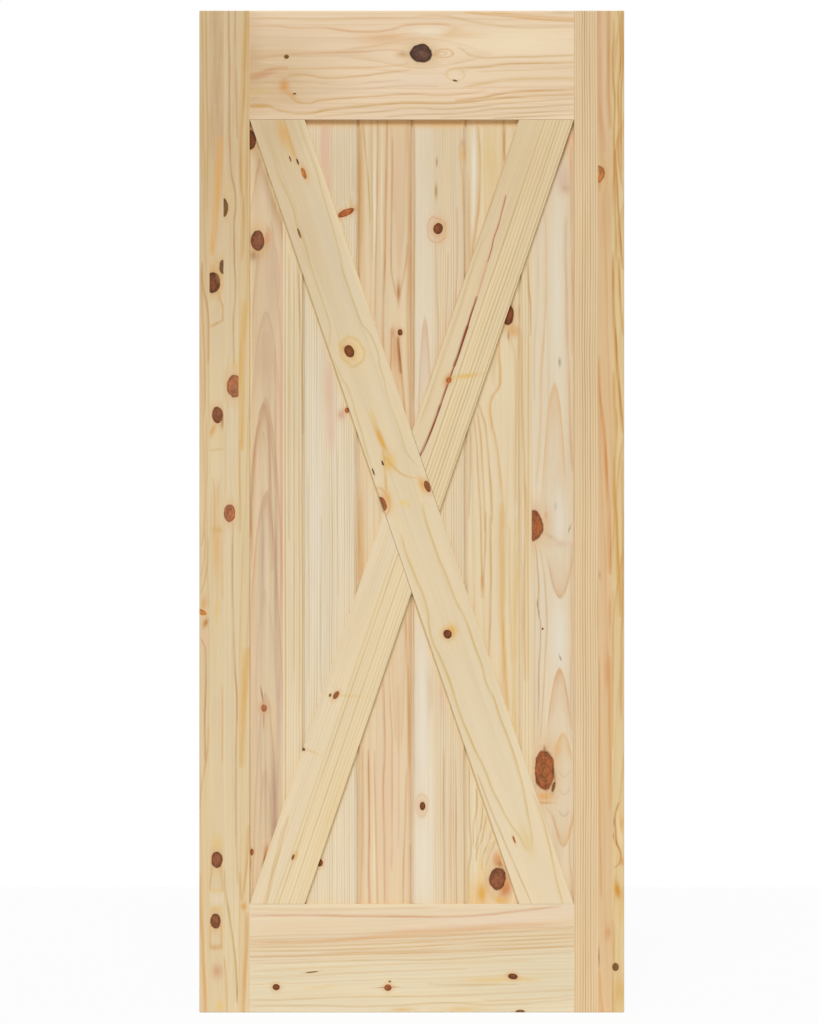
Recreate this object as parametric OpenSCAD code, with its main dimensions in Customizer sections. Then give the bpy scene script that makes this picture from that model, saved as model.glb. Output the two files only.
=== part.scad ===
// Knotty pine barn door: two stiles and two rails round a panel of V-jointed
// planks, with an X of three braces that lie flush with the frame on the front.
// Lengths are in millimetres. The front faces -Y, and the origin is the middle
// of the bottom edge, halfway through the thickness.

/* [Slab] */
// Width over both stiles
door_w = 905; // [800:1:1220]
// Height of the slab
door_h = 2134; // [1950:1:2440]
// Thickness of the frame
door_t = 35; // [33:0.5:45]
// Radius on the outer edges of the slab
outer_ease = 2; // [1:0.1:4]

/* [Frame] */
// Width of a stile
stile_w = 107; // [90:1:140]
// Height of the top rail
top_rail_h = 232; // [150:1:300]
// Height of the bottom rail
bottom_rail_h = 231; // [150:1:320]
// Radius on the frame edges round the panel
inner_ease = 0.8; // [0.4:0.1:1.5]
// Depth of the groove that holds the panel
groove_d = 13; // [10:0.5:18]

/* [Panel] */
// Number of planks side by side
plank_count = 6; // [4:1:9]
// Thickness of a plank
plank_t = 13; // [12:0.5:15]
// Width of the bevel along each jointed edge of a plank
bevel_w = 4; // [2:0.5:6]
// Depth of that bevel
bevel_d = 3.5; // [2:0.25:4]
// Length of a plank's tongue
tongue_l = 6; // [4:0.5:9]
// Thickness of a plank's tongue
tongue_t = 4; // [3:0.25:5]

/* [Braces] */
// Width of a brace, square across it
brace_w = 111; // [80:1:130]
// Radius on the front edges of a brace
brace_ease = 2; // [0.4:0.1:3]

/* [Dowels] */
// Dowels in each corner joint
dowel_count = 3; // [2:1:4]
// Diameter of a dowel
dowel_d = 16; // [12:0.5:18]
// Length of a dowel, half of it in the stile
dowel_l = 130; // [90:1:150]
// Chamfer on the ends of a dowel
dowel_chamfer = 1.5; // [0.5:0.25:3]
// Glue flutes round a dowel
flute_count = 8; // [6:1:10]
// Width of a glue flute
flute_w = 1.6; // [0.8:0.1:2.4]

/* [Brads] */
// Diameter of a brad's shank
brad_d = 1.6; // [1.2:0.1:2]
// Length of a brad's point
brad_point_l = 1.8; // [1:0.1:3]
// Diameter of a brad's head
brad_head_d = 2.6; // [2.2:0.1:4]
// Thickness of a brad's head
brad_head_t = 1; // [0.6:0.1:1.5]
// Depth of a brad's head below the back of a plank
brad_set = 0.8; // [0.4:0.1:1.5]
// Length of a brad in a brace
brad_bite = 7; // [5:0.5:9]

/* [Fits] */
// Room on each face of a board in its groove
groove_fit = 0.2; // [0.1:0.05:0.5]
// Room for the panel to swell at the bottom of a groove
swell_room = 2; // [1:0.5:4]
// Gap between the shoulders of two planks
seam_gap = 0.3; // [0.1:0.1:1]
// Gap at the ends of the braces and where they cross
brace_gap = 0.3; // [0.1:0.1:1]
// Room round a dowel or a brad in its hole
hole_fit = 0.1; // [0.05:0.05:0.3]
// Room for glue at the ends of a dowel or at the point of a brad
glue_room = 0.8; // [0.4:0.1:2]

/* [Hidden] */
$fn = 48;
// How far a cut runs past the wood
overrun = 5;
// Where a plank's two brads sit along the stretch that a brace covers
brad_shares = [0.3, 0.7];

// The opening inside the frame
panel_w = door_w - 2 * stile_w;
panel_h = door_h - top_rail_h - bottom_rail_h;
panel_low = bottom_rail_h;
panel_high = door_h - top_rail_h;
panel_mid = panel_low + panel_h / 2;

// The groove, and how far planks and stub tenons reach into it
groove_w = plank_t + 2 * groove_fit;
groove_reach = groove_d - swell_room;
plank_pitch = panel_w / plank_count;
tongue_slot_w = tongue_t + 2 * groove_fit;
tongue_slot_d = tongue_l + seam_gap;

// A brace's outer edges start in two corners of the opening, which sets its lean
panel_diagonal = sqrt(panel_w * panel_w + panel_h * panel_h);
brace_lean = acos(brace_w / panel_diagonal) - atan(panel_h / panel_w);
brace_rise = brace_w / (2 * sin(brace_lean));

FRAME_NODES = ["left_stile", "right_stile", "top_rail", "bottom_rail"];
DOWEL_NODES = ["top_left_dowels", "top_right_dowels", "bottom_left_dowels", "bottom_right_dowels"];
BRACE_NODES = ["long_brace", "upper_short_brace", "lower_short_brace"];
BRAD_NODES = ["long_brace_brads", "upper_brace_brads", "lower_brace_brads"];
PLANK_NODES = [for (i = [1 : plank_count]) str("plank_", i)];

STILE_COLOUR = [0.85, 0.72, 0.50];
RAIL_COLOUR = [0.90, 0.79, 0.60];
PLANK_COLOURS = [[0.87, 0.76, 0.60], [0.90, 0.81, 0.65]];
BRACE_COLOUR = [0.91, 0.81, 0.60];
DOWEL_COLOUR = [0.76, 0.60, 0.40];
BRAD_COLOUR = [0.55, 0.56, 0.58];

// Shared cuts

// What rounding takes off a corner, with the wood towards +X and +Y
module corner_waste(r) {
    difference() {
        translate([-overrun, -overrun])
            square(r + overrun);
        translate([r, r])
            circle(r);
    }
}

// The same along an edge that runs up Z
module edge_waste(r, length) {
    linear_extrude(height = length)
        corner_waste(r);
}

// The same along an edge that runs along X, with the wood towards +Y and +Z
module cross_edge_waste(r, length) {
    rotate([90, 0, 90])
        edge_waste(r, length);
}

// Repeats a front cut on the back
module both_faces() {
    for (back = [0, 1])
        mirror([0, back, 0])
            children();
}

// Repeats a cut at the bottom end of the slab at its top end
module both_ends() {
    children();
    translate([0, 0, door_h])
        mirror([0, 0, 1])
            children();
}

// Takes what stands in the bottom left corner to another corner
module in_corner(right, top) {
    translate([0, 0, top * door_h])
        mirror([0, 0, top])
            mirror([right, 0, 0])
                children();
}

// Places a row of dowels on the joint between the left stile and a rail
module on_dowel_centres(rail_h) {
    spacing = (rail_h - groove_d) / dowel_count;
    for (i = [0 : dowel_count - 1])
        translate([-panel_w / 2, 0, (i + 0.5) * spacing])
            rotate([0, 90, 0])
                children();
}

module dowel_holes(rail_h) {
    on_dowel_centres(rail_h)
        cylinder(d = dowel_d + 2 * hole_fit, h = dowel_l + 2 * glue_room, center = true);
}

// Frame

module stile() {
    color(STILE_COLOUR)
        difference() {
            translate([-door_w / 2, -door_t / 2, 0])
                cube([stile_w, door_t, door_h]);
            translate([-panel_w / 2 - groove_d, -groove_w / 2, -overrun])
                cube([groove_d + overrun, groove_w, door_h + 2 * overrun]);
            dowel_holes(bottom_rail_h);
            in_corner(0, 1)
                dowel_holes(top_rail_h);
            stile_edges();
        }
}

module stile_edges() {
    both_faces() {
        translate([-door_w / 2, -door_t / 2, -overrun])
            edge_waste(outer_ease, door_h + 2 * overrun);
        translate([-panel_w / 2, -door_t / 2, panel_low])
            mirror([1, 0, 0])
                edge_waste(inner_ease, panel_h);
        both_ends()
            translate([-door_w / 2 - overrun, -door_t / 2, 0])
                cross_edge_waste(outer_ease, stile_w + 2 * overrun);
    }
    both_ends()
        translate([-door_w / 2, door_t / 2 + overrun, 0])
            rotate([90, 0, 0])
                edge_waste(outer_ease, door_t + 2 * overrun);
}

// A rail with its outer edge on the floor, stub tenons on its ends and the panel's groove on top
module rail(rail_h) {
    color(RAIL_COLOUR)
        difference() {
            union() {
                translate([-panel_w / 2, -door_t / 2, 0])
                    cube([panel_w, door_t, rail_h]);
                translate([-panel_w / 2 - groove_reach, -plank_t / 2, 0])
                    cube([panel_w + 2 * groove_reach, plank_t, rail_h]);
            }
            translate([-door_w / 2, -groove_w / 2, rail_h - groove_d])
                cube([door_w, groove_w, groove_d + overrun]);
            for (right = [0, 1])
                in_corner(right, 0)
                    dowel_holes(rail_h);
            both_faces()
                rail_edges(rail_h);
        }
}

module rail_edges(rail_h) {
    cut_l = panel_w + 2 * overrun;
    translate([-cut_l / 2, -door_t / 2, 0])
        cross_edge_waste(outer_ease, cut_l);
    translate([-cut_l / 2, -door_t / 2, rail_h])
        mirror([0, 0, 1])
            cross_edge_waste(inner_ease, cut_l);
}

module left_stile() {
    stile();
}

module right_stile() {
    mirror([1, 0, 0])
        stile();
}

module top_rail() {
    in_corner(0, 1)
        rail(top_rail_h);
}

module bottom_rail() {
    rail(bottom_rail_h);
}

// Panel

function seam_x(i) = -panel_w / 2 + i * plank_pitch;

function plank_x(i) = (seam_x(i) + seam_x(i + 1)) / 2;

// The edge with the slot, or the plain edge that goes into the left stile
function left_outline(i) =
    let (face = plank_t / 2, land = face - bevel_d, slot = tongue_slot_w / 2)
    let (x = seam_x(i) + seam_gap / 2)
    i == 0
        ? [[-panel_w / 2 - groove_reach, -face], [-panel_w / 2 - groove_reach, face]]
        : [
            [x + bevel_w, -face], [x, -land], [x, -slot], [x + tongue_slot_d, -slot],
            [x + tongue_slot_d, slot], [x, slot], [x, land], [x + bevel_w, face]
        ];

// The edge with the tongue, or the plain edge that goes into the right stile
function right_outline(i) =
    let (face = plank_t / 2, land = face - bevel_d, tongue = tongue_t / 2)
    let (x = seam_x(i + 1) - seam_gap / 2)
    i == plank_count - 1
        ? [[panel_w / 2 + groove_reach, face], [panel_w / 2 + groove_reach, -face]]
        : [
            [x - bevel_w, face], [x, land], [x, tongue], [x + tongue_l, tongue],
            [x + tongue_l, -tongue], [x, -tongue], [x, -land], [x - bevel_w, -face]
        ];

module plank(i) {
    color(PLANK_COLOURS[i % 2])
        difference() {
            translate([0, 0, panel_low - groove_reach])
                linear_extrude(height = panel_h + 2 * groove_reach)
                    polygon(concat(left_outline(i), right_outline(i)));
            for (spot = concat(long_brads_in(i), upper_brads_in(i), lower_brads_in(i)))
                at_brad(spot)
                    plank_brad_hole();
        }
}

// Braces

module brace_profile() {
    difference() {
        translate([-brace_w / 2, -door_t / 2])
            square([brace_w, (door_t - plank_t) / 2]);
        for (right = [0, 1])
            mirror([right, 0])
                translate([-brace_w / 2, -door_t / 2])
                    corner_waste(brace_ease);
    }
}

// Stands children at the middle of the panel, leaning to the left (-1) or to the right (1)
module leaning(way) {
    translate([0, 0, panel_mid])
        rotate([0, way * brace_lean, 0])
            children();
}

// A leaning bar, trimmed to a stretch of the opening
module trimmed_brace(way, low, high) {
    intersection() {
        leaning(way)
            linear_extrude(height = 2 * panel_diagonal, center = true)
                brace_profile();
        translate([-door_w / 2, -door_t / 2 - overrun, low])
            cube([door_w, door_t / 2 + overrun, high - low]);
    }
}

module long_brace() {
    color(BRACE_COLOUR)
        difference() {
            trimmed_brace(-1, panel_low + brace_gap, panel_high - brace_gap);
            brace_brad_holes(long_brads);
        }
}

// A half brace: it stops against the long brace
module short_brace(low, high, brads) {
    cut_w = brace_w + 2 * brace_gap;
    color(BRACE_COLOUR)
        difference() {
            trimmed_brace(1, low, high);
            leaning(-1)
                cube([cut_w, door_t + 2 * overrun, 2 * panel_diagonal], center = true);
            brace_brad_holes(brads);
        }
}

module upper_short_brace() {
    short_brace(panel_mid, panel_high - brace_gap, upper_brads);
}

module lower_short_brace() {
    short_brace(panel_low + brace_gap, panel_mid, lower_brads);
}

// Dowels

module dowel() {
    r = dowel_d / 2;
    end = dowel_l / 2;
    outline = [
        [0, -end], [r - dowel_chamfer, -end], [r, dowel_chamfer - end],
        [r, end - dowel_chamfer], [r - dowel_chamfer, end], [0, end]
    ];
    color(DOWEL_COLOUR)
        difference() {
            rotate_extrude()
                polygon(outline);
            for (i = [0 : flute_count - 1])
                rotate([0, 0, i * 360 / flute_count])
                    translate([r, 0, 0])
                        cylinder(d = flute_w, h = dowel_l + 2 * overrun, center = true);
        }
}

module corner_dowels(right, top) {
    in_corner(right, top)
        on_dowel_centres(top == 1 ? top_rail_h : bottom_rail_h)
            dowel();
}

// Brads, driven from the back on the middle of each plank, which can then swell either way

function long_z(x) = panel_mid - x / tan(brace_lean);

function short_z(x) = panel_mid + x / tan(brace_lean);

function between(low, high, share) = low + share * (high - low);

function long_brads_in(i) =
    let (x = plank_x(i))
    let (low = max(long_z(x) - brace_rise, panel_low))
    let (high = min(long_z(x) + brace_rise, panel_high))
    [for (share = brad_shares) [x, between(low, high, share)]];

// Only planks right of the middle lie under the upper short brace
function upper_brads_in(i) =
    let (x = plank_x(i))
    let (low = max(short_z(x) - brace_rise, long_z(x) + brace_rise))
    let (high = min(short_z(x) + brace_rise, panel_high))
    2 * i + 1 > plank_count ? [for (share = brad_shares) [x, between(low, high, share)]] : [];

// The lower short brace is the upper one turned half round
function lower_brads_in(i) =
    [for (spot = upper_brads_in(plank_count - 1 - i)) [-spot.x, 2 * panel_mid - spot.y]];

long_brads = [for (i = [0 : plank_count - 1]) each long_brads_in(i)];
upper_brads = [for (i = [0 : plank_count - 1]) each upper_brads_in(i)];
lower_brads = [for (i = [0 : plank_count - 1]) each lower_brads_in(i)];

// Stands children on the back of the panel at a brad, with +Z into the wood
module at_brad(spot) {
    translate([spot.x, plank_t / 2, spot.y])
        rotate([90, 0, 0])
            children();
}

module plank_brad_hole() {
    translate([0, 0, -overrun])
        cylinder(d = brad_head_d + 2 * hole_fit, h = overrun + brad_set + brad_head_t);
    cylinder(d = brad_d + 2 * hole_fit, h = plank_t + overrun);
}

module brace_brad_holes(brads) {
    for (spot = brads)
        at_brad(spot)
            cylinder(d = brad_d + 2 * hole_fit, h = plank_t + brad_bite + glue_room);
}

module brad() {
    tip = plank_t + brad_bite;
    head = brad_set + brad_head_t;
    outline = [
        [0, brad_set], [brad_head_d / 2, brad_set], [brad_head_d / 2, head],
        [brad_d / 2, head], [brad_d / 2, tip - brad_point_l], [0, tip]
    ];
    color(BRAD_COLOUR)
        rotate_extrude()
            polygon(outline);
}

module brads(spots) {
    for (spot = spots)
        at_brad(spot)
            brad();
}

left_stile();
right_stile();
top_rail();
bottom_rail();
for (i = [0 : plank_count - 1])
    plank(i);
long_brace();
upper_short_brace();
lower_short_brace();
corner_dowels(0, 1);  // top_left_dowels
corner_dowels(1, 1);  // top_right_dowels
corner_dowels(0, 0);  // bottom_left_dowels
corner_dowels(1, 0);  // bottom_right_dowels
brads(long_brads);  // long_brace_brads
brads(upper_brads);  // upper_brace_brads
brads(lower_brads);  // lower_brace_brads
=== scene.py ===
# %% [markdown]
# A knotty pine barn door: two stiles and two rails around a panel of V-jointed planks, with an X of
# three braces on the front. Its solids come from the CAD model, which already has every bevel, groove
# and butt joint, so nothing is remodelled here. What makes the door look real is its wood, and that is
# what these cells build: growth rings, veins and knots worked out in shader nodes, board by board.

# %% Load the frame
import math
from typing import NamedTuple

import bmesh
import bpy
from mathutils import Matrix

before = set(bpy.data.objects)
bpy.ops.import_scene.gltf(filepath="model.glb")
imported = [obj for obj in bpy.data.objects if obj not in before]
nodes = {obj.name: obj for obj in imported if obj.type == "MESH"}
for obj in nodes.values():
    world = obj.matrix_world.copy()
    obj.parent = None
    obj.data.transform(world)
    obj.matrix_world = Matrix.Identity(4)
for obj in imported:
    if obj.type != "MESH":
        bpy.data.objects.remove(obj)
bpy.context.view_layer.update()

# %% [markdown]
# The door is seen straight from the front, with no keystone, so the camera is far away on a long lens
# and level with the middle of the door. The lens follows from the height that the picture has to hold.
# An orthographic camera would also do here, but a long lens keeps other views natural.

# %% Camera
MM = 0.001
FRONT = -17.5
PICTURE_HEIGHT = 2181.0
PICTURE_MIDDLE = (-4.9, 1066.1)
CAMERA_DISTANCE = 9000.0

camera_data = bpy.data.cameras.new("camera")
camera_data.sensor_width = 36.0
camera_data.lens = camera_data.sensor_width * CAMERA_DISTANCE / PICTURE_HEIGHT
camera = bpy.data.objects.new("camera", camera_data)
camera.location = (PICTURE_MIDDLE[0] * MM, (FRONT - CAMERA_DISTANCE) * MM, PICTURE_MIDDLE[1] * MM)
camera.rotation_euler = (math.radians(90.0), 0.0, 0.0)
bpy.context.collection.objects.link(camera)
bpy.context.scene.camera = camera
bpy.context.scene.view_settings.view_transform = "Standard"
print("lens", round(camera_data.lens, 1), "mm")

# %% [markdown]
# The light is a bright studio: a soft lamp high in front and a little to the left, which puts a shadow
# under the top rail and under the lower edges of the braces, and an even fill from all round. With what
# the floor throws back, lamp and fill add up to about one, so a colour on the front of the door renders
# as it is written. The background is white only to the camera and to reflections: the world adds no light
# for that.

# %% Studio light
LAMP_HEIGHT_ANGLE = 42.0
LAMP_SIDE_ANGLE = 4.0
LAMP_STRENGTH = 1.92
LAMP_SOFTNESS = 24.0
FILL = 0.445
WHITE = (1.0, 1.0, 1.0, 1.0)

lamp_data = bpy.data.lights.new("soft_lamp", "SUN")
lamp_data.energy = LAMP_STRENGTH
lamp_data.angle = math.radians(LAMP_SOFTNESS)
lamp = bpy.data.objects.new("soft_lamp", lamp_data)
lamp.rotation_euler = (math.radians(90.0 - LAMP_HEIGHT_ANGLE), 0.0, -math.radians(LAMP_SIDE_ANGLE))
bpy.context.collection.objects.link(lamp)


def seen_rays(tree):
    """1 for rays that show the background: from the camera, in a reflection or through glass."""
    path = tree.nodes.new("ShaderNodeLightPath")
    seen = path.outputs["Is Camera Ray"]
    for name in ("Is Glossy Ray", "Is Transmission Ray"):
        larger = tree.nodes.new("ShaderNodeMath")
        larger.operation = "MAXIMUM"
        tree.links.new(seen, larger.inputs[0])
        tree.links.new(path.outputs[name], larger.inputs[1])
        seen = larger.outputs["Value"]
    return seen


world = bpy.data.worlds.new("studio")
world.use_nodes = True
sky_tree = world.node_tree
sky_tree.nodes.clear()
fill_light = sky_tree.nodes.new("ShaderNodeBackground")
fill_light.inputs["Color"].default_value = WHITE
fill_light.inputs["Strength"].default_value = FILL
white_wall = sky_tree.nodes.new("ShaderNodeBackground")
white_wall.inputs["Color"].default_value = WHITE
white_wall.inputs["Strength"].default_value = 1.0
either = sky_tree.nodes.new("ShaderNodeMixShader")
sky_tree.links.new(seen_rays(sky_tree), either.inputs["Fac"])
sky_tree.links.new(fill_light.outputs["Background"], either.inputs[1])
sky_tree.links.new(white_wall.outputs["Background"], either.inputs[2])
sky_out = sky_tree.nodes.new("ShaderNodeOutputWorld")
sky_tree.links.new(either.outputs["Shader"], sky_out.inputs["Surface"])
bpy.context.scene.world = world
print("lamp", LAMP_STRENGTH, "fill", FILL)

# %% [markdown]
# The door stands on a pale studio floor. To the camera the floor is mostly plain white, mixed with a
# share of its own shading, so that it melts into the background and still keeps the door's soft shadow.

# %% Floor
FLOOR_HALF = 3.0
FLOOR_TONE = (0.78, 0.78, 0.78, 1.0)
FLOOR_WHITE_SHARE = 0.94

floor_mesh = bpy.data.meshes.new("floor")
shape = bmesh.new()
bmesh.ops.create_grid(shape, x_segments=1, y_segments=1, size=FLOOR_HALF)
shape.to_mesh(floor_mesh)
shape.free()
floor = bpy.data.objects.new("floor", floor_mesh)
bpy.context.collection.objects.link(floor)

floor_paint = bpy.data.materials.new("pale_floor")
floor_paint.use_nodes = True
floor_tree = floor_paint.node_tree
floor_tree.nodes.clear()
matt = floor_tree.nodes.new("ShaderNodeBsdfDiffuse")
matt.inputs["Color"].default_value = FLOOR_TONE
plain_white = floor_tree.nodes.new("ShaderNodeEmission")
plain_white.inputs["Strength"].default_value = 1.0
white_share = floor_tree.nodes.new("ShaderNodeMath")
white_share.operation = "MULTIPLY"
white_share.inputs[1].default_value = FLOOR_WHITE_SHARE
floor_tree.links.new(seen_rays(floor_tree), white_share.inputs[0])
floor_mix = floor_tree.nodes.new("ShaderNodeMixShader")
floor_tree.links.new(white_share.outputs["Value"], floor_mix.inputs["Fac"])
floor_tree.links.new(matt.outputs["BSDF"], floor_mix.inputs[1])
floor_tree.links.new(plain_white.outputs["Emission"], floor_mix.inputs[2])
floor_out = floor_tree.nodes.new("ShaderNodeOutputMaterial")
floor_tree.links.new(floor_mix.outputs["Shader"], floor_out.inputs["Surface"])
floor_mesh.materials.append(floor_paint)
print("floor", 2 * FLOOR_HALF, "m wide")

# %% [markdown]
# Wood is easiest to describe with sums: how far a point lies from the heart of the log, how near it is
# to a knot. Shader nodes can do sums, but wiring them one by one is hard to read. So a small class wraps
# a node's output as a Field, a value that varies over the board, and the usual signs make the nodes.

# %% Fields: sums made of nodes
def plug(slot, value):
    """Wires a Field into a socket, or writes a plain number or colour there."""
    if isinstance(value, Field):
        slot.id_data.links.new(value.socket, slot)
    else:
        slot.default_value = value


def math_node(tree, operation, *values):
    """A Math node with the values plugged in, as a Field."""
    node = tree.nodes.new("ShaderNodeMath")
    node.operation = operation
    for slot, value in zip(node.inputs, values):
        plug(slot, value)
    return Field(node.outputs["Value"])


class Field:
    """A number, place or colour that varies over a surface: the output of a shader node."""

    def __init__(self, socket):
        self.socket = socket
        self.tree = socket.id_data

    def do(self, operation, *others):
        """Any operation of the Math node, by the name Blender has for it."""
        return math_node(self.tree, operation, self, *others)

    def __add__(self, other):
        return self.do("ADD", other)

    def __sub__(self, other):
        return self.do("SUBTRACT", other)

    def __rsub__(self, other):
        return math_node(self.tree, "SUBTRACT", other, self)

    def __mul__(self, other):
        return self.do("MULTIPLY", other)

    def __truediv__(self, other):
        return self.do("DIVIDE", other)

    def __abs__(self):
        return self.do("ABSOLUTE")

    __radd__ = __add__
    __rmul__ = __mul__

    def squared(self):
        return self * self

    def root(self):
        return self.do("SQRT")

    def fade(self):
        """1 where the field is zero, falling towards 0 as it grows."""
        return math_node(self.tree, "POWER", 1.0 / math.e, self)

    def ramp(self, low, high, kind="SMOOTHSTEP"):
        """0 up to low, 1 from high on, and a soft S or a straight rise between them."""
        node = self.tree.nodes.new("ShaderNodeMapRange")
        node.interpolation_type = kind
        plug(node.inputs["Value"], self)
        plug(node.inputs["From Min"], low)
        plug(node.inputs["From Max"], high)
        return Field(node.outputs["Result"])


print("fields ready")

# %% [markdown]
# A place on the board is three fields joined into one vector. The Mapping node, set to Texture, then does
# in one step what each knot and stain needs: it measures the place from a middle, along turned axes, in
# units of a size. The length of the result is 1 on an oval of that size, and less inside it.

# %% Places
def joined(x, y, z):
    """Three fields as one place."""
    node = x.tree.nodes.new("ShaderNodeCombineXYZ")
    for slot, part in zip(node.inputs, (x, y, z)):
        plug(slot, part)
    return Field(node.outputs["Vector"])


def split(place):
    """The three fields that make up a place."""
    node = place.tree.nodes.new("ShaderNodeSeparateXYZ")
    plug(node.inputs["Vector"], place)
    return [Field(node.outputs[axis]) for axis in "XYZ"]


def measured(place, middle, size, turn=(0.0, 0.0, 0.0)):
    """A place measured from a middle, along turned axes, in units of size."""
    node = place.tree.nodes.new("ShaderNodeMapping")
    node.vector_type = "TEXTURE"
    plug(node.inputs["Vector"], place)
    node.inputs["Location"].default_value = middle
    node.inputs["Rotation"].default_value = [math.radians(angle) for angle in turn]
    node.inputs["Scale"].default_value = size
    return Field(node.outputs["Vector"])


def length(place):
    """How far a place is from zero."""
    node = place.tree.nodes.new("ShaderNodeVectorMath")
    node.operation = "LENGTH"
    plug(node.inputs[0], place)
    return Field(node.outputs["Value"])


def length_squared(place):
    """The square of that length, which needs no root."""
    node = place.tree.nodes.new("ShaderNodeVectorMath")
    node.operation = "DOT_PRODUCT"
    plug(node.inputs[0], place)
    plug(node.inputs[1], place)
    return Field(node.outputs["Value"])


print("places ready")

# %% [markdown]
# Colours are written as they look on screen, red, green and blue up to 255, and are turned into the
# linear values that the renderer works with. More helpers mix and tint colours, make drawn-out noise and
# throw dice: wood varies slowly along the grain and quickly across it, so the noise is stretched along
# the board, and the dice give each year's ring a look of its own.

# %% Colours and noise
NOISE_STEP = 1000.0


def wood_colour(red, green, blue):
    """A colour as seen on screen, 0 to 255, as linear values."""
    shares = [value / 255.0 for value in (red, green, blue)]
    linear = [s / 12.92 if s <= 0.04045 else ((s + 0.055) / 1.055) ** 2.4 for s in shares]
    return (*linear, 1.0)


def blend(tree, share, under, over):
    """The under colour, covered by the over colour where share is 1."""
    node = tree.nodes.new("ShaderNodeMix")
    node.data_type = "RGBA"
    plug(node.inputs[0], share)
    plug(node.inputs[6], under)
    plug(node.inputs[7], over)
    return Field(node.outputs[2])


def tinted(colour, red, green, blue):
    """A colour with each of its parts made stronger or weaker by a field."""
    node = colour.tree.nodes.new("ShaderNodeVectorMath")
    node.operation = "MULTIPLY"
    plug(node.inputs[0], colour)
    plug(node.inputs[1], joined(red, green, blue))
    return Field(node.outputs["Vector"])


def noise(place, long, wide, seed, detail=2.0):
    """Cloudy noise about zero, with clouds so many mm long along the grain and wide across it."""
    cloud = place.tree.nodes.new("ShaderNodeTexNoise")
    cloud.inputs["Scale"].default_value = 1.0
    cloud.inputs["Detail"].default_value = detail
    plug(cloud.inputs["Vector"], measured(place, (seed * NOISE_STEP, 0.0, 0.0), (long, wide, wide)))
    return Field(cloud.outputs["Fac"]) - 0.5


def dice(field, seed):
    """A random number from 0 to 1 for each whole number of the field."""
    node = field.tree.nodes.new("ShaderNodeTexWhiteNoise")
    node.noise_dimensions = "1D"
    plug(node.inputs["W"], field + seed)
    return Field(node.outputs["Value"])


print("middle pine as linear values", [round(v, 3) for v in wood_colour(226, 205, 168)])

# %% [markdown]
# Every board gets axes of its own, in millimetres: u runs along its grain, v across it and w from its
# face into the wood. Stiles and planks stand upright, rails lie flat and the braces lean. The axes come
# from Object coordinates, so the pattern stays with the door, and a point picked on the front of the
# door, x from its middle and z from its foot, can be turned into u and v by the same sums.

# %% A board and its axes
DEEP = 1.0e6
END_GRAIN_TILT = (0.75, 0.95)


class Board:
    """One board's material, with its axes u, v and w as fields in millimetres."""

    def __init__(self, name, middle, lean, face):
        self.name = name
        self.material = bpy.data.materials.new(name + "_pine")
        self.material.use_nodes = True
        self.tree = self.material.node_tree
        self.tree.nodes.clear()
        self.middle = middle
        self.sine = math.sin(math.radians(lean))
        self.cosine = math.cos(math.radians(lean))
        where = self.tree.nodes.new("ShaderNodeTexCoord")
        x, y, z = split(Field(where.outputs["Object"]))
        x = x / MM - middle[0]
        z = z / MM - middle[1]
        self.u = x * self.sine + z * self.cosine
        self.v = x * self.cosine - z * self.sine
        self.w = y / MM - face
        nx, _, nz = split(Field(where.outputs["Normal"]))
        self.end_grain = abs(nx * self.sine + nz * self.cosine).ramp(*END_GRAIN_TILT)

    def at(self, x, z):
        """u and v of a point on the front of the door."""
        x = x - self.middle[0]
        z = z - self.middle[1]
        return x * self.sine + z * self.cosine, x * self.cosine - z * self.sine

    def oval(self, place, spot, long, wide, slant=0.0):
        """A place measured from a spot on the face, in units of its half sizes."""
        return measured(place, (*self.at(spot.x, spot.z), 0.0), (long, wide, DEEP), (0.0, slant, spot.turn))


print("boards have axes")

# %% [markdown]
# Wide stiles and planks of knotty pine are glued up from narrow strips, and each strip is a different
# piece of tree: its grain and tone stop dead at the glue line. A strip is described by the arch its rings
# make on the face (the tip of one and the distance to the next), the width of a ring, how deep the heart
# of the log lies behind the face, and its pale early wood and dark late wood. One board whose lines grow
# stronger to one side is written as two strips of the same grain that melt into each other.

# %% Strips
GLUE_LINE = 0.2


class Strip(NamedTuple):
    tip: tuple
    step: float
    ring: float
    depth: float
    pale: tuple
    dark: tuple
    line: float = 0.7
    sway: float = 5.0
    sharp: float = 0.66


def lay_strips(board, glue, melt):
    """Fields that are 0 before and 1 past each glue line of the board."""
    board.glue = [board.at(*point)[1] for point in glue]
    board.glued = melt == GLUE_LINE
    board.past = [board.v.ramp(line - melt, line + melt) for line in board.glue]
    board.masks = {}


def per_strip(board, values):
    """A value that changes at each glue line across the board."""
    field = values[0]
    for past, before, after in zip(board.past, values, values[1:]):
        if after != before:
            field = past.do("MULTIPLY_ADD", after - before, field)
    return field


def strip_colour(board, colours):
    """A colour that changes at each glue line across the board."""
    colour = wood_colour(*colours[0])
    for past, before, after in zip(board.past, colours, colours[1:]):
        if after != before:
            colour = blend(board.tree, past, colour, wood_colour(*after))
    return colour


def kept_in_strip(board, across, field):
    """The field, cut off at the glue lines of the strip that a place across the board lies in."""
    if not (board.glue and board.glued):
        return field
    number = sum(line <= across for line in board.glue)
    if number not in board.masks:
        sides = []
        if number > 0:
            sides.append(board.past[number - 1])
        if number < len(board.glue):
            sides.append(1.0 - board.past[number])
        board.masks[number] = sides[0] if len(sides) == 1 else sides[0] * sides[1]
    return field * board.masks[number]


print("a strip is described by", Strip._fields)

# %% [markdown]
# A knot is a branch that the trunk grew around. The grain flows round it, so before any ring is drawn the
# across-grain axis is pushed aside near each knot. Some knots also lift the rings into closed eyes, and
# rings swell like that where a branch lies just under the face. Both are soft bell curves.

# %% Knots bend the grain
class Knot(NamedTuple):
    x: float
    z: float
    long: float
    wide: float
    kind: str = "red"
    turn: float = 0.0


class Swell(NamedTuple):
    x: float
    z: float
    long: float
    wide: float
    rings: float
    turn: float = 0.0


PUSH = 0.8
PUSH_LONG = 2.4
PUSH_WIDE = 1.8


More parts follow.
